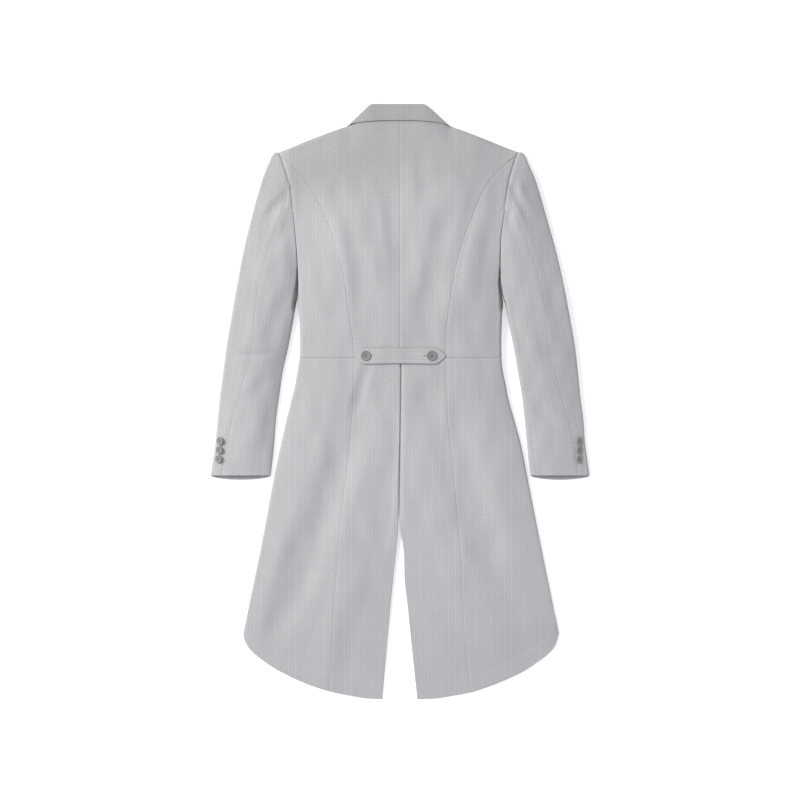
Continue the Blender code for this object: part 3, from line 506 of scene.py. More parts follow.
def shell(name, points, sink, grain, side, materials, thickness=CLOTH, tone=1.0):
    """A cloth piece as a closed thin wall: its outer face on a grid of points, sunk at its seams.

    The rows run down the coat and their points outwards; NaN is a place with no cloth. Where a
    rim lies level, its wall stands upright, so that sewn edges meet. A second material is the
    cloth's inner face.
    """
    here = np.isfinite(points[..., 0])
    index = np.where(here, np.cumsum(here).reshape(here.shape) - 1, -1)
    whole = here[:-1, :-1] & here[:-1, 1:] & here[1:, :-1] & here[1:, 1:]
    quads = np.stack([index[:-1, :-1], index[:-1, 1:], index[1:, 1:], index[1:, :-1]], -1)[whole]
    if side == RIGHT:
        quads = quads[:, ::-1]
    flat, depth = points[here], np.broadcast_to(sink, here.shape)[here]
    normal = np.cross(flat[quads[:, 2]] - flat[quads[:, 0]], flat[quads[:, 3]] - flat[quads[:, 1]])
    lean = np.zeros(flat.shape)
    for corner in range(4):
        np.add.at(lean, quads[:, corner], normal)
    lean /= np.maximum(np.linalg.norm(lean, axis=1, keepdims=True), 1e-9)
    edges = np.concatenate([quads[:, [k, (k + 1) % 4]] for k in range(4)])
    ways = {tuple(edge) for edge in edges.tolist()}
    border = np.array([(a, b) for a, b in ways if (b, a) not in ways])
    rim = np.unique(border)
    level = rim[np.abs(lean[rim, 2]) > LEVEL_RIM]
    lean[level] = np.sign(lean[level]) * (0, 0, 1)
    outer, inner = flat - lean * depth[:, None], flat - lean * thickness
    count = len(flat)
    rims = np.stack([border[:, 1], border[:, 0], border[:, 0] + count, border[:, 1] + count], -1)
    faces = np.concatenate([quads, quads[:, ::-1] + count, rims])
    mesh = bpy.data.meshes.new(name)
    mesh.from_pydata((np.concatenate([outer, inner]) * MM).tolist(), [], faces.tolist())
    mesh.attributes.new("grain", "FLOAT_VECTOR", "POINT").data.foreach_set(
        "vector", np.tile(grain[here], (2, 1)).astype(np.float32).ravel())
    # the tone attribute: the painted light and shade, times any tone given for the piece
    paleness = painted_light_and_shade(*flat.T) * np.broadcast_to(tone, here.shape)[here]
    mesh.attributes.new("tone", "FLOAT", "POINT").data.foreach_set(
        "value", np.tile(paleness, 2).astype(np.float32))
    for material in materials:
        mesh.materials.append(material)
    if len(materials) > 1:
        inside = np.zeros(len(faces), np.int32)
        inside[len(quads):2 * len(quads)] = 1
        mesh.polygons.foreach_set("material_index", inside)
    mesh.shade_smooth()
    mesh.set_sharp_from_angle(angle=SHARP_EDGE)
    piece = bpy.data.objects.new(name, mesh)
    bpy.context.scene.collection.objects.link(piece)
    return piece


def add_node(tree, kind, values=(), **settings):
    """A shader node with its settings, fed by numbers, colours or other nodes' sockets."""
    made = tree.nodes.new(kind)
    for setting, value in settings.items():
        setattr(made, setting, value)
    for socket, value in dict(values).items():
        if isinstance(value, bpy.types.NodeSocket):
            tree.links.new(value, made.inputs[socket])
        else:
            made.inputs[socket].default_value = value
    return made


def maths(tree, operation, *values):
    return add_node(tree, "ShaderNodeMath", enumerate(values), operation=operation).outputs[0]


def make_group(name, inputs, outputs):
    """An empty node group with named sockets, and its two end nodes."""
    group = bpy.data.node_groups.new(name, "ShaderNodeTree")
    for socket, kind, value in inputs:
        made = group.interface.new_socket(socket, in_out="INPUT", socket_type=kind)
        if value is not None:
            made.default_value = value
    for socket, kind in outputs:
        group.interface.new_socket(socket, in_out="OUTPUT", socket_type=kind)
    return group, group.nodes.new("NodeGroupInput"), group.nodes.new("NodeGroupOutput")


# sizes of the weave in millimetres: the woven lines, one at each pitch, and the twill's ribs
Stripe = namedtuple("Stripe", "pitch shift width strength")
STRIPES = (
    Stripe(12.9, 0.0, 1.05, 0.82), Stripe(12.9, 0.5, 1.1, 0.36), Stripe(4.3, 0.25, 0.9, 0.12),
)
TWILL = 1.4


def make_pinstripe_group():
    """Worsted cloth: fine paler stripes down the warp on a heathered ground, with a twill weave."""
    tree, ins, outs = make_group(
        "pinstripe suiting",
        (("Grain", "NodeSocketVector", None), ("Ground", "NodeSocketColor", (0.4, 0.4, 0.42, 1)),
         ("Stripe", "NodeSocketColor", (0.5, 0.5, 0.52, 1)), ("Stripe Strength", "NodeSocketFloat", 1.0),
         ("Heather", "NodeSocketFloat", 1.0), ("Tone", "NodeSocketFloat", 1.0)),
        (("Color", "NodeSocketColor"), ("Height", "NodeSocketFloat")))
    place = add_node(tree, "ShaderNodeVectorMath", {0: ins.outputs["Grain"], 1: (1000, 1000, 1000)},
                     operation="MULTIPLY").outputs[0]
    split = add_node(tree, "ShaderNodeSeparateXYZ", {0: place})
    across, along = split.outputs[0], split.outputs[1]

    def cloud(scale_across, scale_along, detail=2.0):
        """Noise with its own grain length across and along the warp, in millimetres."""
        size = (1 / scale_across, 1 / scale_along, 1.0)
        where = add_node(tree, "ShaderNodeVectorMath", {0: place, 1: size}, operation="MULTIPLY")
        made = add_node(tree, "ShaderNodeTexNoise",
                        {"Vector": where.outputs[0], "Scale": 1.0, "Detail": detail})
        return maths(tree, "SUBTRACT", made.outputs[0], 0.5)

    drift = maths(tree, "MULTIPLY_ADD", cloud(200, 130), 2.4, across)

    def soft_line(stripe):
        """One soft line at each pitch across the cloth."""
        turn = maths(tree, "MULTIPLY_ADD", drift, 1 / stripe.pitch, stripe.shift)
        away = maths(tree, "MULTIPLY", maths(tree, "PINGPONG", turn, 0.5), stripe.pitch)
        line = add_node(tree, "ShaderNodeMapRange",
                        {"Value": away, "From Min": 0.0, "From Max": stripe.width,
                         "To Min": stripe.strength, "To Max": 0.0}, interpolation_type="SMOOTHSTEP")
        return line.outputs[0]

    lines = soft_line(STRIPES[0])
    for stripe in STRIPES[1:]:
        lines = maths(tree, "ADD", lines, soft_line(stripe))
    worn = maths(tree, "MULTIPLY_ADD", cloud(9, 60), 1.6, 0.95)
    lines = maths(tree, "MULTIPLY", maths(tree, "MULTIPLY", lines, worn), ins.outputs["Stripe Strength"])
    striped = add_node(tree, "ShaderNodeMix", {0: lines, 6: ins.outputs["Ground"],
                                               7: ins.outputs["Stripe"]}, data_type="RGBA")
    streaks = maths(tree, "MULTIPLY", cloud(1.6, 16, 3), 0.09)
    flecks = maths(tree, "MULTIPLY_ADD", cloud(2.4, 3.6, 3), 0.34, streaks)
    patches = maths(tree, "MULTIPLY_ADD", cloud(34, 60), 0.09, flecks)
    # the Tone input carries the pieces' painted light and shade
    shade = maths(tree, "MULTIPLY_ADD", patches, ins.outputs["Heather"], ins.outputs["Tone"])
    toned = add_node(tree, "ShaderNodeVectorMath", {0: striped.outputs[2], "Scale": shade},
                     operation="SCALE")
    tree.links.new(toned.outputs[0], outs.inputs["Color"])
    twill = maths(tree, "MULTIPLY", maths(tree, "ADD", across, along), 2 * pi / TWILL)
    ribs = maths(tree, "MULTIPLY", maths(tree, "SINE", twill), 0.16)
    threads = maths(tree, "MULTIPLY_ADD", cloud(0.9, 3.5, 3), 0.9, ribs)
    tree.links.new(maths(tree, "MULTIPLY_ADD", lines, 0.25, threads), outs.inputs["Height"])
    return tree


PINSTRIPE = make_pinstripe_group()


def suiting(name, ground, stripe, strength=1.0, heather=1.0, bump=0.22):
    """A cloth material that carries the suiting's stripe at its own tone."""
    material = bpy.data.materials.new(name)
    material.use_nodes = True
    tree = material.node_tree
    shader = tree.nodes["Principled BSDF"]
    grain = add_node(tree, "ShaderNodeAttribute", attribute_name="grain")
    weave = add_node(tree, "ShaderNodeGroup", node_tree=PINSTRIPE)
    tree.links.new(grain.outputs["Vector"], weave.inputs["Grain"])
    # the pieces' tone attribute, which carries painted light and shade
    tone = add_node(tree, "ShaderNodeAttribute", attribute_name="tone")
    tree.links.new(tone.outputs["Fac"], weave.inputs["Tone"])
    set_sockets(weave, {"Ground": (*ground, 1.0), "Stripe": (*stripe, 1.0),
                        "Stripe Strength": strength, "Heather": heather})
    raised = add_node(tree, "ShaderNodeBump", {"Strength": bump, "Distance": 0.0006,
                                               "Height": weave.outputs["Height"]})
    tree.links.new(weave.outputs["Color"], shader.inputs["Base Color"])
    tree.links.new(raised.outputs["Normal"], shader.inputs["Normal"])
    set_sockets(shader, {"Roughness": 0.88, "Specular IOR Level": 0.25,
                         "Sheen Weight": 0.12, "Sheen Roughness": 0.55})
    return material


CLOTH_GROUND = (0.403, 0.399, 0.418)
CLOTH_STRIPE = (0.468, 0.464, 0.500)
SUITING = suiting("grey pinstripe suiting", CLOTH_GROUND, CLOTH_STRIPE)
INSIDE = suiting("grey inside cloth", (0.30, 0.30, 0.315), (0.33, 0.33, 0.345), 0.3, 0.6, 0.1)


def back_edge(side, y):
    """Outer edge of the back panel: armhole, princess seam, then the tail's seam."""
    body = np.where(y >= PRINCESS_TOP, armhole(side, y), princess(side, y))
    return np.where(y > WAIST, body, tail_seam(side, y))


def over_vent(side, x, y):
    """How far the right tail's edge dips under the left one's, along the closed vent."""
    if side == LEFT:
        return 0.0 * x
    closed = fade(y, VENT_TOP + 14, VENT_TOP - 8) * fade(y, VENT_OPENS, VENT_OPENS + 40)
    return VENT_OVERLAP * closed * fade(np.abs(x - vent_edge(side, y)), 9, 0)


def hem_turn(away):
    """How far the turned-up hem lifts the face below its stitched line."""
    return HEM_RISE * fade(away, HEM_TURN + 2, HEM_TURN - 2)


def shoulder_wrap(side, part, tip, seam_y):
    """The stretch past the shoulder seam: round it, then flat down the underside."""
    quarter = radians(90) * np.linspace(1, 0, 7)[:-1]
    past = np.concatenate([(SHOULDER_WRAP, 9.0, 7.0), FOLD_RADIUS * (1 - np.cos(quarter))])[:, None]
    low = np.concatenate([np.ones(3), np.sin(quarter)])[:, None]
    x = side * (part * (armhole(side, SLEEVE_HEAD - past) - SEWN))
    y = seam_y - past
    wrap = np.stack([x, y, mix(FOLD_RADIUS, under(side, x, y), low)], -1)
    wrap[:, part * tip < NECK_POINT - 1] = np.nan
    return wrap


def back_panel(side):
    tip = float(armhole(side, SLEEVE_HEAD))
    length = SLEEVE_HEAD - BODY_FOOT
    down = spaced(0, length, BACK_ROWS, roll_steps(SHOULDER_ROLL, 15), NO_STEPS)[0]
    ys = np.concatenate([SLEEVE_HEAD - down, np.arange(BODY_FOOT - STEP, HEM_BAND, -STEP), [HEM_BAND]])
    outer = back_edge(side, ys) - SEWN
    inner = np.where(ys < VENT_TOP, side * vent_edge(side, ys), SEWN)
    out = spaced(inner, outer, PANEL_COLUMNS)
    part = np.clip((out - inner[:, None]) / (outer - inner)[:, None], 0, 1)
    starts = np.where(part * tip < NECK_POINT, neck_seam(side, part * tip), shoulder(side, part * tip))
    t = ((SLEEVE_HEAD - ys) / length)[:, None]
    y = np.where(t <= 1, mix(starts, BODY_FOOT, np.minimum(t, 1)), ys[:, None])
    x = side * out
    z = body_top(side, x, y, np.where(out < NECK_POINT + 5, COLLAR_ROOM, 0.0))
    z[0] = np.where(part[0] * tip > NECK_POINT - 1, FOLD_RADIUS, z[0])
    top = np.stack([x, y, z - over_vent(side, x, y)], -1)
    wrap = shoulder_wrap(side, part[0], tip, starts[0])
    end_x = side * spaced(side * vent_edge(side, VENT_FOOT), tail_seam(side, TAIL_FOOT) - SEWN,
                          PANEL_COLUMNS)[0]
    tail = hem_rows(top[-1], end_x, hem(side, np.abs(end_x)))
    points = np.concatenate([wrap, top, tail])

    x, y = points[..., 0], points[..., 1]
    from_edge = np.abs(side * x - back_edge(side, np.clip(y, TAIL_FOOT, SLEEVE_HEAD)))
    from_centre = np.abs(x - np.where(y < VENT_TOP, vent_edge(side, y), 0.0))
    from_hem = y - hem(side, np.abs(x))
    side_seam = pressed_seam(from_edge, mix(TAIL_SEAM_DEPTH, SEAM_DEPTH, fade(y, 60, 120)))
    side_seam = mix(side_seam, pressed_seam(from_edge, **ARMHOLE_DITCH), fade(y, 436, 450))
    centre_seam = pressed_seam(from_centre, mix(0.12, 0.45, fade(y, 480, 370)))
    vent = fade(y, VENT_TOP + 4, VENT_TOP - 4)
    sink = side_seam + mix(centre_seam, turned_edge(from_centre), vent)
    sink = sink + turned_edge(from_hem) - hem_turn(from_hem)
    sink[:len(wrap)] = 0.0
    piece = shell(f"back_panel_{SIDE_NAMES[side]}", points, sink, grain_of(points, 1 + side), side,
                  (SUITING, INSIDE))
    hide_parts(f"back_{SIDE_NAMES[side]}")
    return piece


def hem_rows(last, end_x, end_y):
    """Rows from the last straight section to the curved hem, coming down to the floor."""
    steps = spaced(0.0, 1.0, TAIL_ROWS, NO_STEPS, EDGE_STEPS / TAIL_REACH)[0][1:, None]
    down = ease(steps)
    x, y = mix(last[:, 0], end_x, steps), mix(last[:, 1], end_y, steps)
    level = mix(last[:, 2] - relief(BODY_FOLDS, last[:, 0], last[:, 1]), CLOTH + 1.0, down)
    return np.stack([x, y, level + mix(1.0, 0.6, down) * relief(BODY_FOLDS, x, y)], -1)


for hand in (LEFT, RIGHT):
    panel = back_panel(hand)
    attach(panel, "root")


# ---- the side bodies --------------------------------------------------------------------------
# One panel a side of the same suiting, between the back's curved princess seam, the armhole and
# the waist seam. It turns round the side fold and ends in a seam on the underside.
UNDER_WRAP = 24.0          # the side body reaches this far under the coat
ROUND_FOLD = radians(90) * np.linspace(0, 1, 8)[1:]


def fold_over(side, edge, ys, ends, count):
    """The stretch past a side fold: round it, then flat along the underside to its end."""
    round_out = edge[:, None] - FOLD_RADIUS * (1 - np.cos(ROUND_FOLD))
    flat_out = spaced(edge - FOLD_RADIUS, ends, count, NO_STEPS)[:, 1:]
    x = side * np.hstack([round_out, flat_out])
    y = np.broadcast_to(ys[:, None], x.shape)
    low = np.concatenate([np.sin(ROUND_FOLD), np.ones(flat_out.shape[1])])
    return np.stack([x, y, mix(FOLD_RADIUS, under(side, x, y), low)], -1)


def open_edge(y):
    """How much of the armhole's ditch the cloth's edge has: little low down, none at the armpit."""
    return mix(0.15, 1.0, fade(y, 342, 374)) * fade(y, ARMPIT + 4, ARMPIT + 34)


def side_body(side):
    upper = np.linspace(PRINCESS_TOP - 1, ARMPIT, 60)
    ys = np.concatenate([upper, spaced(ARMPIT, BODY_FOOT, 34, NO_STEPS)[0][1:]])
    inner = princess(side, ys) + SEWN
    edge = np.where(ys > ARMPIT, armhole(side, ys), side_fold(side, ys)) - SEWN
    out = spaced(inner, edge, 30, EDGE_STEPS, roll_steps(BODY_ROLL, 18))
    x, y = side * out, np.broadcast_to(ys[:, None], out.shape)
    below = fold_over(side, edge, ys, edge - UNDER_WRAP, 8)
    below[ys > ARMPIT] = np.nan
    points = np.concatenate([np.stack([x, y, body_top(side, x, y)], -1), below], axis=1)

    across, along = np.abs(points[..., 0]), points[..., 1]
    sink = pressed_seam(across - inner[:, None]) + pressed_seam(along - BODY_FOOT)
    sink = sink + open_edge(along) * pressed_seam(edge[:, None] - across, **ARMHOLE_DITCH)
    piece = shell(f"side_body_panel_{SIDE_NAMES[side]}", points, sink, grain_of(points, 3 + side),
                  side, (SUITING, INSIDE))
    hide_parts(f"side_body_{SIDE_NAMES[side]}")
    return piece


for hand in (LEFT, RIGHT):
    panel = side_body(hand)
    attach(panel, "root")


# ---- the skirts -------------------------------------------------------------------------------
# One panel a side from the waist seam to the hem, from the tail's seam round the side fold to the
# front edge underneath, which is cut away in a long curve. The hem is turned up and blind sewn.
CUTAWAY = (
    Pair(-400, 276, 280), Pair(-300, 222, 225), Pair(-200, 156, 158), Pair(-120, 106, 106),
    Pair(-60, 70, 70), Pair(0, 36, 36), Pair(40, 12, 12), Pair(80, -8, -8),
)
# the hem runs on round the skirt's corner, up to the side fold
HEM_CORNER = HEM[-3:] + (
    Along(266, -471.5, -475.3), Along(276, -463, -467), Along(284, -452.5, -459),
    Along(288.5, -442.5, -452), Along(290.6, -432, -445), Along(292.6, -425, -440),
    Along(294.6, -415, -430),
)
CORNER_OUT = {LEFT: 290.6, RIGHT: 294.6}
cutaway = both_sides(CUTAWAY)
hem_corner = both_sides(HEM_CORNER)


def skirt_hem(side, out):
    """The skirt's hem. The cloth's own weight draws it down less and less round the corner."""
    corner = hem_corner(side, out) - HEM_DROP * fade(out, 284, 234)
    return np.where(out < HEM_CORNER[0].out, hem(side, out), corner)


def skirt(side):
    ys = spaced(WAIST, HEM_BAND, 118, EDGE_STEPS, NO_STEPS)[0]
    inner, edge = tail_seam(side, ys) + SEWN, side_fold(side, ys)
    out = spaced(inner, edge, PANEL_COLUMNS, EDGE_STEPS, roll_steps(BODY_ROLL, 18))
    x, y = side * out, np.broadcast_to(ys[:, None], out.shape)
    top = np.stack([x, y, body_top(side, x, y)], -1)
    part = (out[-1] - inner[-1]) / (edge[-1] - inner[-1])
    end_x = mix(tail_seam(side, TAIL_FOOT) + SEWN, CORNER_OUT[side], part)
    tail = hem_rows(top[-1], side * end_x, skirt_hem(side, end_x))
    below = fold_over(side, edge, ys, np.minimum(cutaway(side, ys), edge - 9), 30)
    below = np.concatenate([below, np.full((len(tail), below.shape[1], 3), np.nan)])
    points = np.concatenate([np.concatenate([top, tail]), below], axis=1)

    across, along = np.abs(points[..., 0]), points[..., 1]
    from_seam = across - tail_seam(side, np.maximum(along, TAIL_FOOT))
    from_hem = along - skirt_hem(side, across)
    sink = pressed_seam(from_seam, TAIL_SEAM_DEPTH) + pressed_seam(WAIST - along)
    sink = sink + turned_edge(from_hem) - hem_turn(from_hem) * np.clip((290 - across) / 20, 0, 1)
    piece = shell(f"skirt_panel_{SIDE_NAMES[side]}", points, sink, grain_of(points, 5 + side), side,
                  (SUITING, INSIDE))
    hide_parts(f"skirt_{SIDE_NAMES[side]}")
    return piece


for hand in (LEFT, RIGHT):
    panel = skirt(hand)
    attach(panel, "root")


# ---- the sleeves ------------------------------------------------------------------------------
# Two-piece sleeves of the same suiting, lined in a paler cloth. The top sleeve turns round the
# outer fold and the under sleeve round the inner one, and they meet in the hind seam above and
# the fore seam on the underside. The cuff's lower layer shows a little past the upper one.
CUFF = -138.0
CUFF_BULGE = 8.0           # how far the cuff's lower layer hangs past the upper one
CUFF_SLIT = {LEFT: 0.5, RIGHT: 0.0}        # how much deeper the hind seam is below the buttons
HIND_TOP = 396.0
HIND_DEPTH = 0.1
SLEEVE_WRAP = 16.0         # the fore seam lies this far under the arm
SLEEVE_PROUD = 1.3
SLEEVE_ROLL = 46.0
SLEEVE_DITCH = {"depth": 1.7, "reach": 2.6}
UNDER_SHIFT = 12.0         # the stripes underneath begin this much further round
FAR = 99.0                 # too far from a seam for it to show
# each sleeve's dome from its outer and its inner fold: how far in it reaches, as part of the
# sleeve's width, and how much it slopes, from one height to another
Dome = namedtuple("Dome", "reach slope_low slope_high low high")
OUTER_DOME = {LEFT: Dome(0.50, 0.19, 0.0855, 40, 180), RIGHT: Dome(0.68, 0.29, 0.3915, 220, 350)}
INNER_DOME = {LEFT: Dome(0.54, 0.575, 0.43, 0, 200), RIGHT: Dome(0.40, 0.144, 0.12, 0, 120)}

SLEEVE_OUTER = (
    Pair(-138, 350, 350), Pair(-109, 346, 346), Pair(-80, 342, 342), Pair(-35, 337.5, 338.5),
    Pair(9, 333, 333), Pair(54, 327, 328.5), Pair(98, 321.5, 323.5), Pair(142, 314, 316),
    Pair(209, 302.5, 303.5), Pair(276, 290, 288.5), Pair(342, 274, 270), Pair(409, 255, 250),
    Pair(438, 244, 237.5), Pair(453, 237, 231), Pair(461, 230, 225),
)
SLEEVE_INNER = (
    Pair(-138, 239.5, 241.5), Pair(-109, 236, 237.5), Pair(-80, 233, 235), Pair(-35, 229.5, 230.5),
    Pair(9, 223.5, 225.5), Pair(54, 217, 218), Pair(98, 207, 210.5), Pair(142, 198.6, 202),
    Pair(180, 192, 194.5), Pair(192, 189.3, 190.2), Pair(215, 188.8, 184.8),
)
HIND_SEAM = (
    Pair(-138, 330, 330), Pair(-116, 327.5, 328), Pair(-60, 316, 318), Pair(20, 293, 296),
    Pair(99, 273.5, 276), Pair(196, 263, 264), Pair(250, 252, 250), Pair(310, 232, 227),
    Pair(372, 209, 204), Pair(396, 203, 199.5),
)
SLEEVE_HEIGHT = (
    Height(-138, 15), Height(-110, 18), Height(-60, 21), Height(0, 23), Height(50, 24.5),
    Height(100, 26), Height(215, 29), Height(342, 29), Height(409, 26), Height(461, 18),
)
SLEEVE_FOLDS = (
    Fold(((-200, 392), (-214, 374), (-236, 350), (-252, 318)), 15, 17, -2.6),
    Fold(((-204, 330), (-226, 300), (-238, 262)), 18, 18, -1.8),
    Fold(((-262, 250), (-268, 200), (-276, 140), (-286, 70)), 26, 26, 0.6),
    Fold(((-214, 210), (-232, 150), (-248, 80)), 20, 20, -1.8),
    Fold(((-318, 85), (-222, 86)), 10, 10, -1.6),
    Fold(((-241, 54), (-262, 26), (-290, -8)), 18, 20, -1.1),
    Fold(((-250, 20), (-268, -40), (-276, -90)), 22, 24, 1.4),
    Fold(((203, 408), (212, 384), (230, 356), (244, 320)), 13, 15, -2.8),
    Fold(((214, 412), (226, 380), (240, 340)), 12, 14, 1.8),
    Fold(((192, 356), (202, 328), (222, 290)), 14, 14, -1.6),
    Fold(((268, 240), (284, 180), (302, 90)), 22, 22, -2.2),
    Fold(((222, 160), (240, 110), (262, 60)), 18, 22, 1.6),
    Fold(((225, 96), (262, 84), (312, 70)), 12, 12, -1.6),
    Fold(((240, 10), (268, -26), (300, -50)), 18, 18, -1.8),
)
SLEEVE_SWAY = (
    Wave(46, 150, 0.26, 0.9), Wave(-60, 95, 0.22, 2.6), Wave(33, -120, 0.14, 4.4),
)
# the stripes run along the sleeve's middle line
SLEEVE_MIDDLE = (
    Height(-138, 293), Height(-35, 283), Height(54, 271), Height(142, 256), Height(215, 246),
    Height(342, 236), Height(461, 226),
)
sleeve_fold_line = both_sides(SLEEVE_OUTER)
sleeve_inner = both_sides(SLEEVE_INNER)
hind_seam = both_sides(HIND_SEAM)
sleeve_height = through(SLEEVE_HEIGHT, "y", "height")
sleeve_middle = through(SLEEVE_MIDDLE, "y", "height")
LINING = suiting("sleeve lining", (0.44, 0.435, 0.46), (0.47, 0.465, 0.49), 0.5, 0.6, 0.08)


def sleeve_outer(side, y):
    """The sleeve's outer fold, where the pressed cloth stands a little proud of its line."""
    return sleeve_fold_line(side, y) + SLEEVE_PROUD


def tight_share(dome, y, roll, height, most):
    """The tight turn's share of a sleeve's height, which leaves the dome's slope the rest."""
    slope = mix(dome.slope_low, dome.slope_high, fade(y, dome.low, dome.high))
    return 1 - np.minimum(0.5 * slope * roll / (height - FOLD_RADIUS), most)


def sleeve_top(side, x, y):
    """Height of the sleeve's outer face."""
    outer, height = sleeve_outer(side, y), sleeve_height(y)
    inner = np.where(y > ARMPIT, armhole(side, y), sleeve_inner(side, y))
    inward = np.maximum(np.abs(x) - inner, 0.0)
    roll = mix(OUTER_DOME[side].reach, 0.95, fade(y, 190, 280)) * (outer - inner)
    share = tight_share(OUTER_DOME[side], y, roll, height, 0.7)
    from_outer = turned(outer - np.abs(x), roll, share)
    roll = INNER_DOME[side].reach * (outer - inner)
    share = tight_share(INNER_DOME[side], y, roll, height, 0.8)
    from_inner = turned(inward, roll, share, turn_at(y))
    rolled = mix(FOLD_RADIUS, height, from_outer * from_inner)
    spread = mix(FOLD_RADIUS, mix(armhole_height(y), height, fade(inward, 0, 28)), from_outer)
    on_head = shoulder_turn(side, np.minimum(np.abs(x), OUTLINE_TOP[-1].out), y)
    upper = mix(FOLD_RADIUS, mix(spread, rolled, valley(y)), on_head)
    soft = relief(SLEEVE_FOLDS, x, y) + sway(SLEEVE_SWAY, x, y)
    return np.where(y > ARMPIT, upper, rolled) + soft * fade(inward, 0, 12) * from_outer


def sleeve_grain(points, number):
    """The cloth's coordinates on a sleeve, whose stripes follow its own bend."""
    x, y, z = np.moveaxis(points, -1, 0)
    across = np.abs(x) - sleeve_middle(y) - UNDER_SHIFT * (z < 2.5)
    return cloth_place(across, y, number)


def cuff_end(side, x, y):
    """How far up the lower layer's cloth lies: at the cuff it shows past the upper layer."""
    outer, inner = sleeve_outer(side, CUFF), sleeve_inner(side, CUFF)
    part = np.clip((outer - np.abs(x)) / (outer - inner), 0, 1)
    return y - CUFF_BULGE * np.sqrt(np.sin(pi * part) + 1e-9) * fade(y, CUFF + 16, CUFF)


def sleeve_wrap(side, edge, ys, ends, way, count):
    """The stretch past a sleeve's fold: round it, then flat on the floor to the fore seam."""
    radius = np.minimum(FOLD_RADIUS, 0.4 * np.abs(ends - edge))[:, None]
    round_out = edge[:, None] + way * radius * (1 - np.cos(ROUND_FOLD))
    flat_out = spaced(edge + way * radius[:, 0], ends, count, NO_STEPS)[:, 1:]
    x = side * np.hstack([round_out, flat_out])
    low = np.concatenate([np.sin(ROUND_FOLD), np.ones(flat_out.shape[1])])
    return np.stack([x, cuff_end(side, x, ys[:, None]), 0 * x + FOLD_RADIUS * (1 - low)], -1)


def sleeve_panel(side, start, edge, ys, count):
    """A sleeve panel's upper layer, from its seam to its fold."""
    out = spaced(start, edge, count, EDGE_STEPS, roll_steps(SLEEVE_ROLL, 15))
    x, y = side * out, np.broadcast_to(ys[:, None], out.shape)
    return np.stack([x, y, sleeve_top(side, x, y)], -1)


def top_sleeve(side):
    ys = spaced(SLEEVE_HEAD, CUFF, 142, roll_steps(SHOULDER_SLANT * SHOULDER_ROLL, 15), EDGE_STEPS)[0]
    outer = sleeve_outer(side, ys)
    start = np.where(ys > HIND_TOP, armhole(side, ys), hind_seam(side, ys)) + SEWN
    end = armhole(side, np.maximum(ys, ARMPIT)) + SEWN
    fore = sleeve_inner(side, np.minimum(ys, ARMPIT)) + SLEEVE_WRAP + SEAM_GAP
    end = mix(end, fore, np.clip((ARMPIT + 18 - ys) / 18, 0, 1))
    top = sleeve_panel(side, start, outer, ys, 30)
    points = np.concatenate([top, sleeve_wrap(side, outer, ys, end, -1, 22)], axis=1)

    above = np.arange(points.shape[1]) < top.shape[1]
    along = points[..., 1]
    from_seam = np.where(above, np.abs(points[..., 0]) - start[:, None], FAR)
    slit = pressed_seam(from_seam, HIND_DEPTH + CUFF_SLIT[side] * fade(along, -106, -114))
    sink = mix(slit, pressed_seam(from_seam, **SLEEVE_DITCH), fade(along, HIND_TOP, HIND_TOP + 12))
    sink = sink + np.where(above, turned_edge(along - CUFF), 0.0)
    piece = shell(f"top_sleeve_panel_{SIDE_NAMES[side]}", points, sink, sleeve_grain(points, 7 + side),
                  side, (SUITING, LINING))
    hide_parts(f"top_sleeve_{SIDE_NAMES[side]}")
    return piece


def under_sleeve(side):
    upper = np.linspace(HIND_TOP - 1, ARMPIT, 48)
    ys = np.concatenate([upper, spaced(ARMPIT, CUFF, 86, NO_STEPS, EDGE_STEPS)[0][1:]])
    inner = np.where(ys > ARMPIT, armhole(side, ys), sleeve_inner(side, ys)) + SEWN
    start = hind_seam(side, ys) - SEWN
    top = sleeve_panel(side, start, inner, ys, 26)
    below = sleeve_wrap(side, inner, ys, inner + SLEEVE_WRAP - SEAM_GAP, 1, 8)
    below[ys > ARMPIT + 18] = np.nan
    points = np.concatenate([top, below], axis=1)

    above = np.arange(points.shape[1]) < top.shape[1]
    across, along = np.abs(points[..., 0]), points[..., 1]
    sink = pressed_seam(np.where(above, start[:, None] - across, FAR), HIND_DEPTH)
    sink = sink + open_edge(along) * pressed_seam(across - inner[:, None], **SLEEVE_DITCH)
    sink = sink + np.where(above, turned_edge(along - CUFF), 0.0)
    piece = shell(f"under_sleeve_panel_{SIDE_NAMES[side]}", points, sink,
                  sleeve_grain(points, 9 + side), -side, (SUITING, LINING))
    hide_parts(f"under_sleeve_{SIDE_NAMES[side]}")
    return piece


for hand in (LEFT, RIGHT):
    panel = top_sleeve(hand)
    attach(panel, "root")
    panel = under_sleeve(hand)
    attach(panel, "root")


# ---- the foreparts and lapels, underneath -----------------------------------------------------
# The foreparts lie face down, so their cloth rests on the turned-out lapels and the front button.
# The roll line runs from the button up to the collar, and the lapels lie flat on the floor.
BREAK = 112.0
FRONT_EDGE = -10.0         # below the button each front edge runs past the middle
FOREPART_NECK = (56.0, 499.0)
# how much higher the lapel's top edge lies at each part of its width
Rise = namedtuple("Rise", "part height")
LAPEL_TOP = (Rise(0.0, 12.6), Rise(0.36, 6.0), Rise(0.72, 0.0), Rise(1.0, 9.0))
ROLL_LINE = (
    Pair(112, 4, 4), Pair(200, 18, 18), Pair(325, 37, 37), Pair(470, 52, 52), Pair(500, 56, 56),
)
roll_line = both_sides(ROLL_LINE)


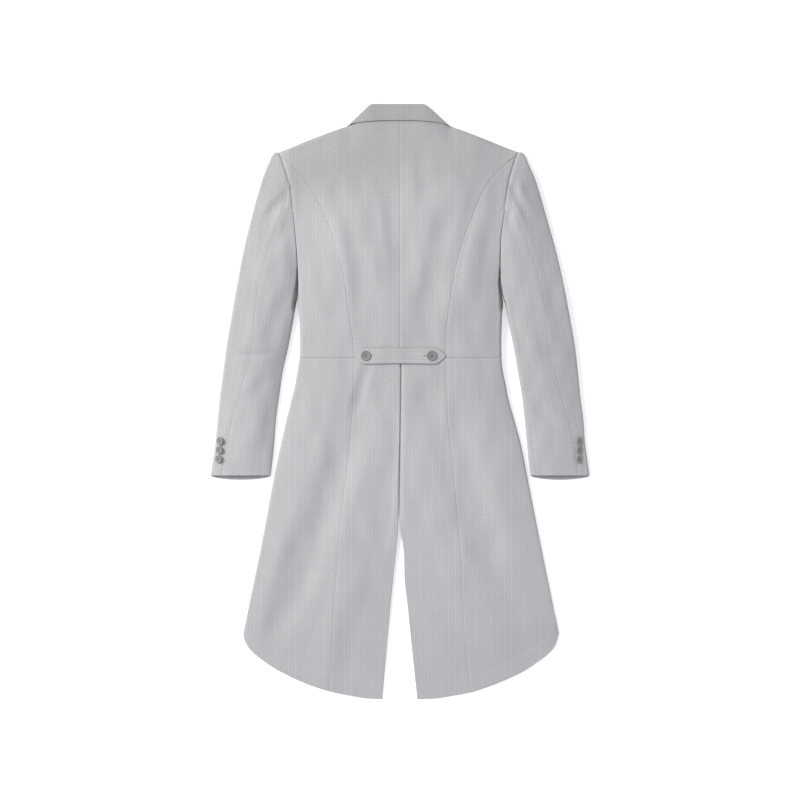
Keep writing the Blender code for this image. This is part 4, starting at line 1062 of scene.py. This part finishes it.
def forepart(side):
    # five places along its upper end, from the neck to the armhole: how far out, and how far up
    tip = float(armhole(side, SLEEVE_HEAD))
    narrow = float(armhole(side, SLEEVE_HEAD - SHOULDER_WRAP)) / tip
    tops = [FOREPART_NECK]
    for out in (NECK_POINT, 134.0, tip):
        tops.append((out * narrow, float(shoulder(side, out)) - SHOULDER_WRAP - SEAM_GAP))
    tops.insert(3, tuple(0.5 * (a + b) for a, b in zip(tops[2], tops[3])))
    tops = np.array(tops)
    highest = tops[-1, 1]
    ys = np.concatenate([np.linspace(highest, ARMPIT, 60), np.linspace(ARMPIT, BODY_FOOT, 34)[1:]])
    t = ((highest - ys) / (highest - BODY_FOOT))[:, None]
    y = mix(tops[:, 1], BODY_FOOT, t)

    # and the five lines that run down from them, from the front edge to the armhole's
    edge = np.where(ys > ARMPIT, armhole(side, ys) - SEWN,
                    side_fold(side, ys) - UNDER_WRAP - 2 * SEAM_GAP)
    overlap = mix(FRONT_EDGE, roll_line(side, BREAK), fade(y, BREAK - 16, BREAK))
    front = np.where(y >= BREAK, roll_line(side, y), overlap)
    lapel_out = turned_out(side, y)
    flat_from = lapel_out + LAPEL_RAMP + 1
    below = np.stack([front[:, 0], lapel_out[:, 1], flat_from[:, 2],
                      mix(flat_from[:, 3], edge, 0.5), edge], 1)
    out = mix(tops[:, 0], below, np.minimum(t * 8, 1.0))
    out[:, 4] = edge
    knots = np.linspace(0, 4, 33)
    low = np.minimum(knots.astype(int), 3)
    out = mix(out[:, low], out[:, low + 1], knots - low)
    y = mix(y[:, low], y[:, low + 1], knots - low)
    x = side * out
    points = np.stack([x, y, under(side, x, y)], -1)
    piece = shell(f"forepart_{SIDE_NAMES[side]}", points, 0.0, grain_of(points, 11 + side), -side,
                  (SUITING, INSIDE))
    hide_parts(f"front_{SIDE_NAMES[side]}")
    return piece


def lapel(side):
    ys = np.linspace(BREAK, 457, 84)[:, None]
    parts = np.linspace(0, 1, 26)
    y = ys + np.interp(parts, *zip(*LAPEL_TOP)) * fade(ys, 415, 457)
    lapel_x = lapel_edge(side, np.minimum(y, LAPEL_PEAK))
    x = side * mix(roll_line(side, y) + 0.5, lapel_x, parts)
    points = np.stack([x, y, 0 * x], -1)
    piece = shell(f"lapel_facing_{SIDE_NAMES[side]}", points, turned_edge(lapel_x - np.abs(x)),
                  grain_of(points, 13 + side), side, (SUITING, SUITING))
    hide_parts(f"lapel_{SIDE_NAMES[side]}")
    return piece


for hand in (LEFT, RIGHT):
    panel = forepart(hand)
    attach(panel, "root")
    panel = lapel(hand)
    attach(panel, "root")


# ---- the collar -------------------------------------------------------------------------------
# A stand inside and a fall over it, in the same suiting darkened with painted shade. Both turn round
# the neck's two ends and run flat down the underside to the lapels. The fall's free edge lies loose
# on the back.
Station = namedtuple("Station", "where ax ay bx by")       # from the crease (a) to the free edge (b)
FALL = (
    Station("top", 0, 551, 0, 518.3), Station("top", 30, 550.8, 38, 518.0),
    Station("top", 49.5, 550.3, 76, 515.0), Station("top", 56.5, 548.0, 92, 511.4),
    Station("fold", 60.0, 543.8, 99.5, 508.9),
    Station("floor", 59.4, 538.5, 101, 503), Station("floor", 57.5, 520, 108, 488),
    Station("floor", 54.5, 495, 116, 472), Station("floor", 52.6, 470.5, 123, 458.6),
)
STAND = (
    Station("top", 0, 547.6, 0, 526.2), Station("top", 30, 547.6, 23.5, 524),
    Station("top", 49, 547.2, 47, 522), Station("top", 54.5, 545.2, 71, 515.2),
    Station("fold", 57.6, 541.8, 93, 508.2),
    Station("floor", 56.8, 535.5, 92.5, 502.5), Station("floor", 56.2, 518, 76, 501.0),
    Station("floor", 55.8, 501.2, 60, 500.2),
)
COLLAR_OFF = 6.3           # the collar lies this much nearer the middle on the right
COLLAR_DEPTH = 33.0
FALL_LIFT = LAYER + 1.5    # the fall rides this far above the back, over the stand
COLLAR_SHADE = 0.92         # painted shade: the collar's copy of the suiting is this much darker
SHADED_COLLAR_CLOTH = suiting("grey collar suiting in painted shade", tuple(COLLAR_SHADE * c for c in CLOTH_GROUND),
                       tuple(COLLAR_SHADE * c for c in CLOTH_STRIPE))


def on_collar(hand, out, y):
    """A place on the collar, which lies a little off the middle and is rounder at its right corner."""
    off = COLLAR_OFF * np.clip(out / 50, 0, 1) * fade(y, LAPEL_PEAK, LAPEL_PEAK + 42)
    drop = fade(out, 45, 57) * fade(y, 538, 546)
    on_right = hand == RIGHT
    return hand * out - np.where(on_right, off, 0.0), y - np.where(on_right, drop, 0.0)


def lifted_back(side, x, y, inset, lift):
    """Height of a strip that rides over the back, down to the fold at its crease."""
    return body_top(side, x, y, inset) + lift * shoulder_turn(side, x, y, inset)


def collar_strip(name, table, inset, lift, low, number):
    """A strip of the collar, across the back neck and round both sides to the front."""
    stations = [(LEFT, s) for s in reversed(table[1:])] + [(RIGHT, s) for s in table]
    parts = spaced(0.0, 1.0, 22, roll_steps(0.22, 7), EDGE_STEPS / COLLAR_DEPTH)[0]
    at = np.linspace(0, len(stations) - 1, 14 * (len(stations) - 1) + 1)
    ends = [(hand * s.ax, s.ay, hand * s.bx, s.by) for hand, s in stations]
    ax, ay, bx, by = smooth_path(ends, at).T[..., None]
    x, y = mix(ax, bx, parts), mix(ay, by, parts)
    on_left = x < 0
    x, y = on_collar(np.where(on_left, LEFT, RIGHT), np.abs(x), y)

    rows = []
    for hand, s in stations:
        row_x, row_y = on_collar(hand, mix(s.ax, s.bx, parts), mix(s.ay, s.by, parts))
        if s.where == "top":
            rows.append(lifted_back(hand, row_x, row_y, inset, lift))
        else:
            rows.append(np.full(parts.shape, FOLD_RADIUS if s.where == "fold" else low))
    on_back = np.where(on_left, *(lifted_back(hand, x, y, inset, lift) for hand in (LEFT, RIGHT)))
    flat = np.abs(at - at[-1] / 2)[:, None] <= sum(s.where == "top" for s in table) - 1
    z = np.where(flat, on_back, np.maximum(smooth_path(rows, at), low))
    points = np.stack([x, y, z], -1)
    sink = np.broadcast_to(turned_edge(COLLAR_DEPTH * (1 - parts)), x.shape)
    return shell(name, points, sink, cloth_place(x, y, number), LEFT, (SHADED_COLLAR_CLOTH, SHADED_COLLAR_CLOTH))


collar_fall = collar_strip("collar_fall_cloth", FALL, 0.0, FALL_LIFT, 0.0, 15)
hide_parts("collar_fall")
collar_stand = collar_strip("collar_stand_cloth", STAND, COLLAR_ROOM, 0.0, LAYER, 16)
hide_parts("collar_stand")
for strip in (collar_fall, collar_stand):
    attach(strip, "root")


# ---- the half belt ----------------------------------------------------------------------------
# A straight tab with pointed ends laid across the waist on the back, two layers of the suiting
# turned in and pressed, with its stripes running across the coat. Two buttons hold it.
BELT_LENGTH, BELT_WIDTH, BELT_POINT, BELT_THICK = 168.6, 30.7, 21.0, 2.4
BELT_MIDDLE = 83.4
BELT_BUTTONS_AT = {LEFT: -63.0, RIGHT: 58.6}
BELT_STANDS = 1.0          # the buttons' shanks let it stand this far off the back
BELT_EDGE, BELT_EDGE_SHADE = 0.9, 0.25      # how far its pressed edge rounds off, and the painted shade along it
BELT_STITCH_DEPTH, BELT_STITCH_IN = 0.15, 6.0
BELT_STRIPE_SHIFT, BELT_PLACE = 3.1, 6.3 / PIECE_SHIFT     # where its cloth was cut


def waist_height(x, y):
    return np.where(x < 0, body_top(LEFT, x, y), body_top(RIGHT, x, y))


def belt_top(x, y):
    """Height of the belt's face, which stands off the back except at its ends."""
    stands = BELT_STANDS * (1 - 1.5 * fade(np.abs(x), 56, 82))
    return waist_height(x, y) + stands + BELT_THICK


def half_belt():
    xs = spaced(-0.5 * BELT_LENGTH, 0.5 * BELT_LENGTH, 96)[0]
    parts = np.sin(0.5 * pi * np.linspace(-1, 1, 25))
    x = np.broadcast_to(xs[:, None], (len(xs), len(parts)))
    from_end = 0.5 * BELT_LENGTH - np.abs(x)
    # each end comes to a point whose very tip is blunt
    point = np.sin(0.5 * pi * np.clip(from_end / BELT_POINT, 0, 1) ** 0.9)
    half_width = 0.5 * BELT_WIDTH * np.maximum(point, 0.13 * rounded(from_end / 1.6) + 0.02)
    # between the buttons the lower edge bows up a little, and the upper one hardly sags
    bow = np.where(parts < 0, 0.9, -0.2) * np.abs(parts) * np.maximum(1 - (x / 50) ** 2, 0)
    y = BELT_MIDDLE + parts * half_width + bow
    points = np.stack([x, y, belt_top(x, y)], -1)
    from_edge = np.minimum((1 - np.abs(parts)) * half_width, 0.8 * from_end + 0.3)
    stitching = BELT_STITCH_DEPTH * hump(from_edge, BELT_STITCH_IN, 1.1)
    sink = BELT_EDGE * (1 - rounded(from_edge)) + stitching
    # painted shade along the belt's edges, standing in for its contact shadow
    painted_shade = 1 - BELT_EDGE_SHADE * hump(from_edge, 0, 1.1)
    grain = cloth_place(y + BELT_STRIPE_SHIFT, x, BELT_PLACE)
    return shell("half_belt_cloth", points, sink, grain, RIGHT, (SUITING,), BELT_THICK, painted_shade)


belt = half_belt()
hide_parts("half_belt")
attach(belt, "root")


# ---- the buttons ------------------------------------------------------------------------------
# Turned grey horn buttons with a raised rim, a dished middle and four holes sewn with grey thread:
# two on the belt's ends, three at each cuff, and the one that closes the front underneath.
BELT_BUTTON, CUFF_BUTTON, FRONT_BUTTON = 18.5, 15.0, 20.0
BUTTON_THICK, BUTTON_RADIUS = 2.5, 0.5 * BELT_BUTTON
# the turned profile, from the back round to the face, as parts of the radius and the thickness
Ring = namedtuple("Ring", "radius height")
BUTTON_PROFILE = (
    Ring(0.80, 0.0), Ring(0.95, 0.14), Ring(1.0, 0.38), Ring(0.985, 0.68), Ring(0.95, 0.90),
    Ring(0.90, 0.99), Ring(0.85, 0.97), Ring(0.79, 0.84), Ring(0.72, 0.76), Ring(0.45, 0.72),
)
BUTTON_SEGMENTS = 48
HOLE_AT, HOLE_RADIUS = 1.45, 0.8
THREAD_LENGTH, THREAD_WIDTH, THREAD_THICK = 2.84 * HOLE_AT + 0.9, 0.75, 0.6
THREAD_AT = 0.76 * BUTTON_THICK
FRONT_BUTTON_AT = (0.0, 96.0, 3.5)
CUFF_BUTTON_STEP, CUFF_BUTTON_FIRST = 16.7, -107.6
# the rows run straight by the outer folds, each button so much further in than the one below
Row = namedtuple("Row", "out lean tone")
# each row's tone paints light and shade on its horn: darker on the left cuff, which faces the lamp,
# paler on the right, which faces away
CUFF_ROWS = {LEFT: Row(333.5, 1.2, 0.72), RIGHT: Row(331.5, 0.0, 1.08)}
CUFF_BUTTON_TILT = radians(33)
BELT_BUTTON_SUNK, CUFF_BUTTON_SUNK = 0.5, 0.3
BUTTONHOLE_OUT, BUTTONHOLE_IN = 2.0, 17.0      # its two ends, from the button's middle


def horn():
    material = bpy.data.materials.new("grey horn")
    material.use_nodes = True
    tree = material.node_tree
    shader = tree.nodes["Principled BSDF"]
    place = add_node(tree, "ShaderNodeTexCoord").outputs["Object"]
    cloud = add_node(tree, "ShaderNodeTexNoise", {"Vector": place, "Scale": 260.0, "Detail": 4.0})
    veins = add_node(tree, "ShaderNodeTexWave", {"Vector": place, "Scale": 160.0, "Distortion": 9.0,
                                                 "Detail": 3.0})
    share = maths(tree, "MULTIPLY_ADD", veins.outputs[1], 0.35, cloud.outputs[0])
    colour = add_node(tree, "ShaderNodeMix", {0: share, 6: (0.205, 0.21, 0.205, 1),
                                              7: (0.29, 0.295, 0.285, 1)}, data_type="RGBA")
    # the button's tone: on the cuffs, painted light and shade
    tone = add_node(tree, "ShaderNodeAttribute", attribute_name="tone")
    toned = add_node(tree, "ShaderNodeVectorMath", {0: colour.outputs[2], "Scale": tone.outputs["Fac"]},
                     operation="SCALE")
    tree.links.new(toned.outputs[0], shader.inputs["Base Color"])
    worn = add_node(tree, "ShaderNodeMapRange",
                    {"Value": cloud.outputs[0], "To Min": 0.5, "To Max": 0.68})
    tree.links.new(worn.outputs[0], shader.inputs["Roughness"])
    set_sockets(shader, {"Specular IOR Level": 0.3})
    return material


HORN = horn()
THREAD = bpy.data.materials.new("grey thread")
THREAD.use_nodes = True
set_sockets(THREAD.node_tree.nodes["Principled BSDF"], {
    "Base Color": (0.11, 0.11, 0.115, 1), "Roughness": 0.8})


def turned_disc():
    """The button's body, turned on a lathe: a raised rim round a dished face."""
    mesh, rings = bmesh.new(), []
    turns = 2 * pi * np.arange(BUTTON_SEGMENTS) / BUTTON_SEGMENTS
    for ring in BUTTON_PROFILE:
        radius, z = ring.radius * BUTTON_RADIUS, ring.height * BUTTON_THICK
        rings.append([mesh.verts.new((radius * cos(turn), radius * sin(turn), z)) for turn in turns])
    for low, high in zip(rings, rings[1:]):
        for i in range(BUTTON_SEGMENTS):
            mesh.faces.new((low[i - 1], low[i], high[i], high[i - 1]))
    mesh.faces.new(rings[0][::-1])
    mesh.faces.new(rings[-1])
    return mesh


def as_mesh(name, made):
    mesh = bpy.data.meshes.new(name)
    made.to_mesh(mesh)
    made.free()
    return mesh


def sewn_button():
    """The whole button: four holes drilled through its face, and a cross of thread over them."""
    drills = bmesh.new()
    for across, along in ((-1, -1), (-1, 1), (1, -1), (1, 1)):
        spot = Matrix.Translation((HOLE_AT * across, HOLE_AT * along, BUTTON_THICK))
        bmesh.ops.create_cone(drills, cap_ends=True, segments=16, radius1=HOLE_RADIUS,
                              radius2=HOLE_RADIUS, depth=BUTTON_THICK, matrix=spot)
    disc = bpy.data.objects.new("button blank", as_mesh("button blank", turned_disc()))
    drill = bpy.data.objects.new("drill", as_mesh("drill", drills))
    for thing in (disc, drill):
        bpy.context.scene.collection.objects.link(thing)
    cut = disc.modifiers.new("holes", "BOOLEAN")
    cut.operation, cut.solver, cut.object = "DIFFERENCE", "EXACT", drill
    bpy.context.view_layer.update()
    body = bmesh.new()
    body.from_mesh(disc.evaluated_get(bpy.context.evaluated_depsgraph_get()).to_mesh())
    for thing in (disc, drill):
        bpy.data.objects.remove(thing)
    for turn in (0.25 * pi, 0.75 * pi):
        place = Matrix.Translation((0, 0, THREAD_AT)) @ Matrix.Rotation(turn, 4, "Z")
        place = place @ Matrix.Diagonal((THREAD_LENGTH, THREAD_WIDTH, THREAD_THICK, 1))
        thread = bmesh.ops.create_icosphere(body, subdivisions=3, radius=0.5, matrix=place)
        for face in {face for vert in thread["verts"] for face in vert.link_faces}:
            face.material_index = 1
    for face in body.faces:
        face.smooth = True
    body.transform(Matrix.Scale(MM, 4))
    mesh = as_mesh("sewn button", body)
    mesh.set_sharp_from_angle(angle=radians(40))
    mesh.materials.append(HORN)
    mesh.materials.append(THREAD)
    return mesh


SEWN_BUTTON = sewn_button()


def button(name, node, centre, lean, diameter, tone=0.8):
    """A button of its own size, standing along its lean; its tone scales the horn's colour, and on the
    cuffs it is painted light and shade.
    """
    mesh = SEWN_BUTTON.copy()
    shades = mesh.attributes.new("tone", "FLOAT", "POINT")
    shades.data.foreach_set("value", np.full(len(mesh.vertices), tone, np.float32))
    scale = diameter / BELT_BUTTON
    mesh.transform(Matrix.Diagonal((scale, scale, 1, 1)))
    piece = bpy.data.objects.new(name, mesh)
    bpy.context.scene.collection.objects.link(piece)
    piece.rotation_euler = Vector(lean).to_track_quat("Z", "Y").to_euler()
    piece.location = Vector(centre) * MM
    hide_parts(node)
    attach(piece, "root")


def lean_of(surface, x, y):
    """The surface's upward normal at a place."""
    rise_x = float(surface(x + 1, y) - surface(x - 1, y)) / 2
    rise_y = float(surface(x, y + 1) - surface(x, y - 1)) / 2
    return Vector((-rise_x, -rise_y, 1.0)).normalized()


def buttonhole(name, start, end):
    """The worked lips of a buttonhole in the belt, as one low bead of thread."""
    bead = bmesh.new()
    size = Matrix.Diagonal((abs(end - start), 1.3, 0.7, 1))
    bmesh.ops.create_icosphere(bead, subdivisions=4, radius=0.5, matrix=size)
    bead.transform(Matrix.Scale(MM, 4))
    piece = bpy.data.objects.new(name, as_mesh(name, bead))
    piece.data.materials.append(THREAD)
    piece.data.shade_smooth()
    bpy.context.scene.collection.objects.link(piece)
    middle = 0.5 * (start + end)
    piece.location = Vector((middle, BELT_MIDDLE, float(belt_top(middle, BELT_MIDDLE)))) * MM
    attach(piece, "root")


def cuff_button(hand, i):
    """One of a cuff's row, sewn on the sleeve's slope and raised where its rim would sink in."""
    row = CUFF_ROWS[hand]
    y = CUFF_BUTTON_FIRST + i * CUFF_BUTTON_STEP
    out = row.out + row.lean * (1 - i)
    up = Vector((hand * sin(CUFF_BUTTON_TILT), 0.0, cos(CUFF_BUTTON_TILT)))
    level = float(sleeve_top(hand, hand * out, y))
    rim = float(sleeve_top(hand, hand * (out + 0.5 * CUFF_BUTTON * up.z), y))
    raised = 0.3 * max(rim - level + 0.5 * CUFF_BUTTON * sin(CUFF_BUTTON_TILT), 0.0)
    seat = Vector((hand * out, y, level + raised)) - up * CUFF_BUTTON_SUNK
    button(f"cuff_button_turned_{SIDE_NAMES[hand]}_{i + 1}", f"cuff_button_{SIDE_NAMES[hand]}_{i + 1}",
           seat, up, CUFF_BUTTON, row.tone)


for hand in (LEFT, RIGHT):
    at = BELT_BUTTONS_AT[hand]
    up = lean_of(belt_top, at, BELT_MIDDLE)
    seat = Vector((at, BELT_MIDDLE, float(belt_top(at, BELT_MIDDLE)))) - up * BELT_BUTTON_SUNK
    button(f"belt_button_turned_{SIDE_NAMES[hand]}", f"belt_button_{SIDE_NAMES[hand]}", seat, up,
           BELT_BUTTON)
    buttonhole(f"buttonhole_{SIDE_NAMES[hand]}", at + hand * BUTTONHOLE_OUT, at - hand * BUTTONHOLE_IN)
    for i in range(3):
        cuff_button(hand, i)
button("front_button_turned", "front_button", FRONT_BUTTON_AT, (0, 0, -1), FRONT_BUTTON)
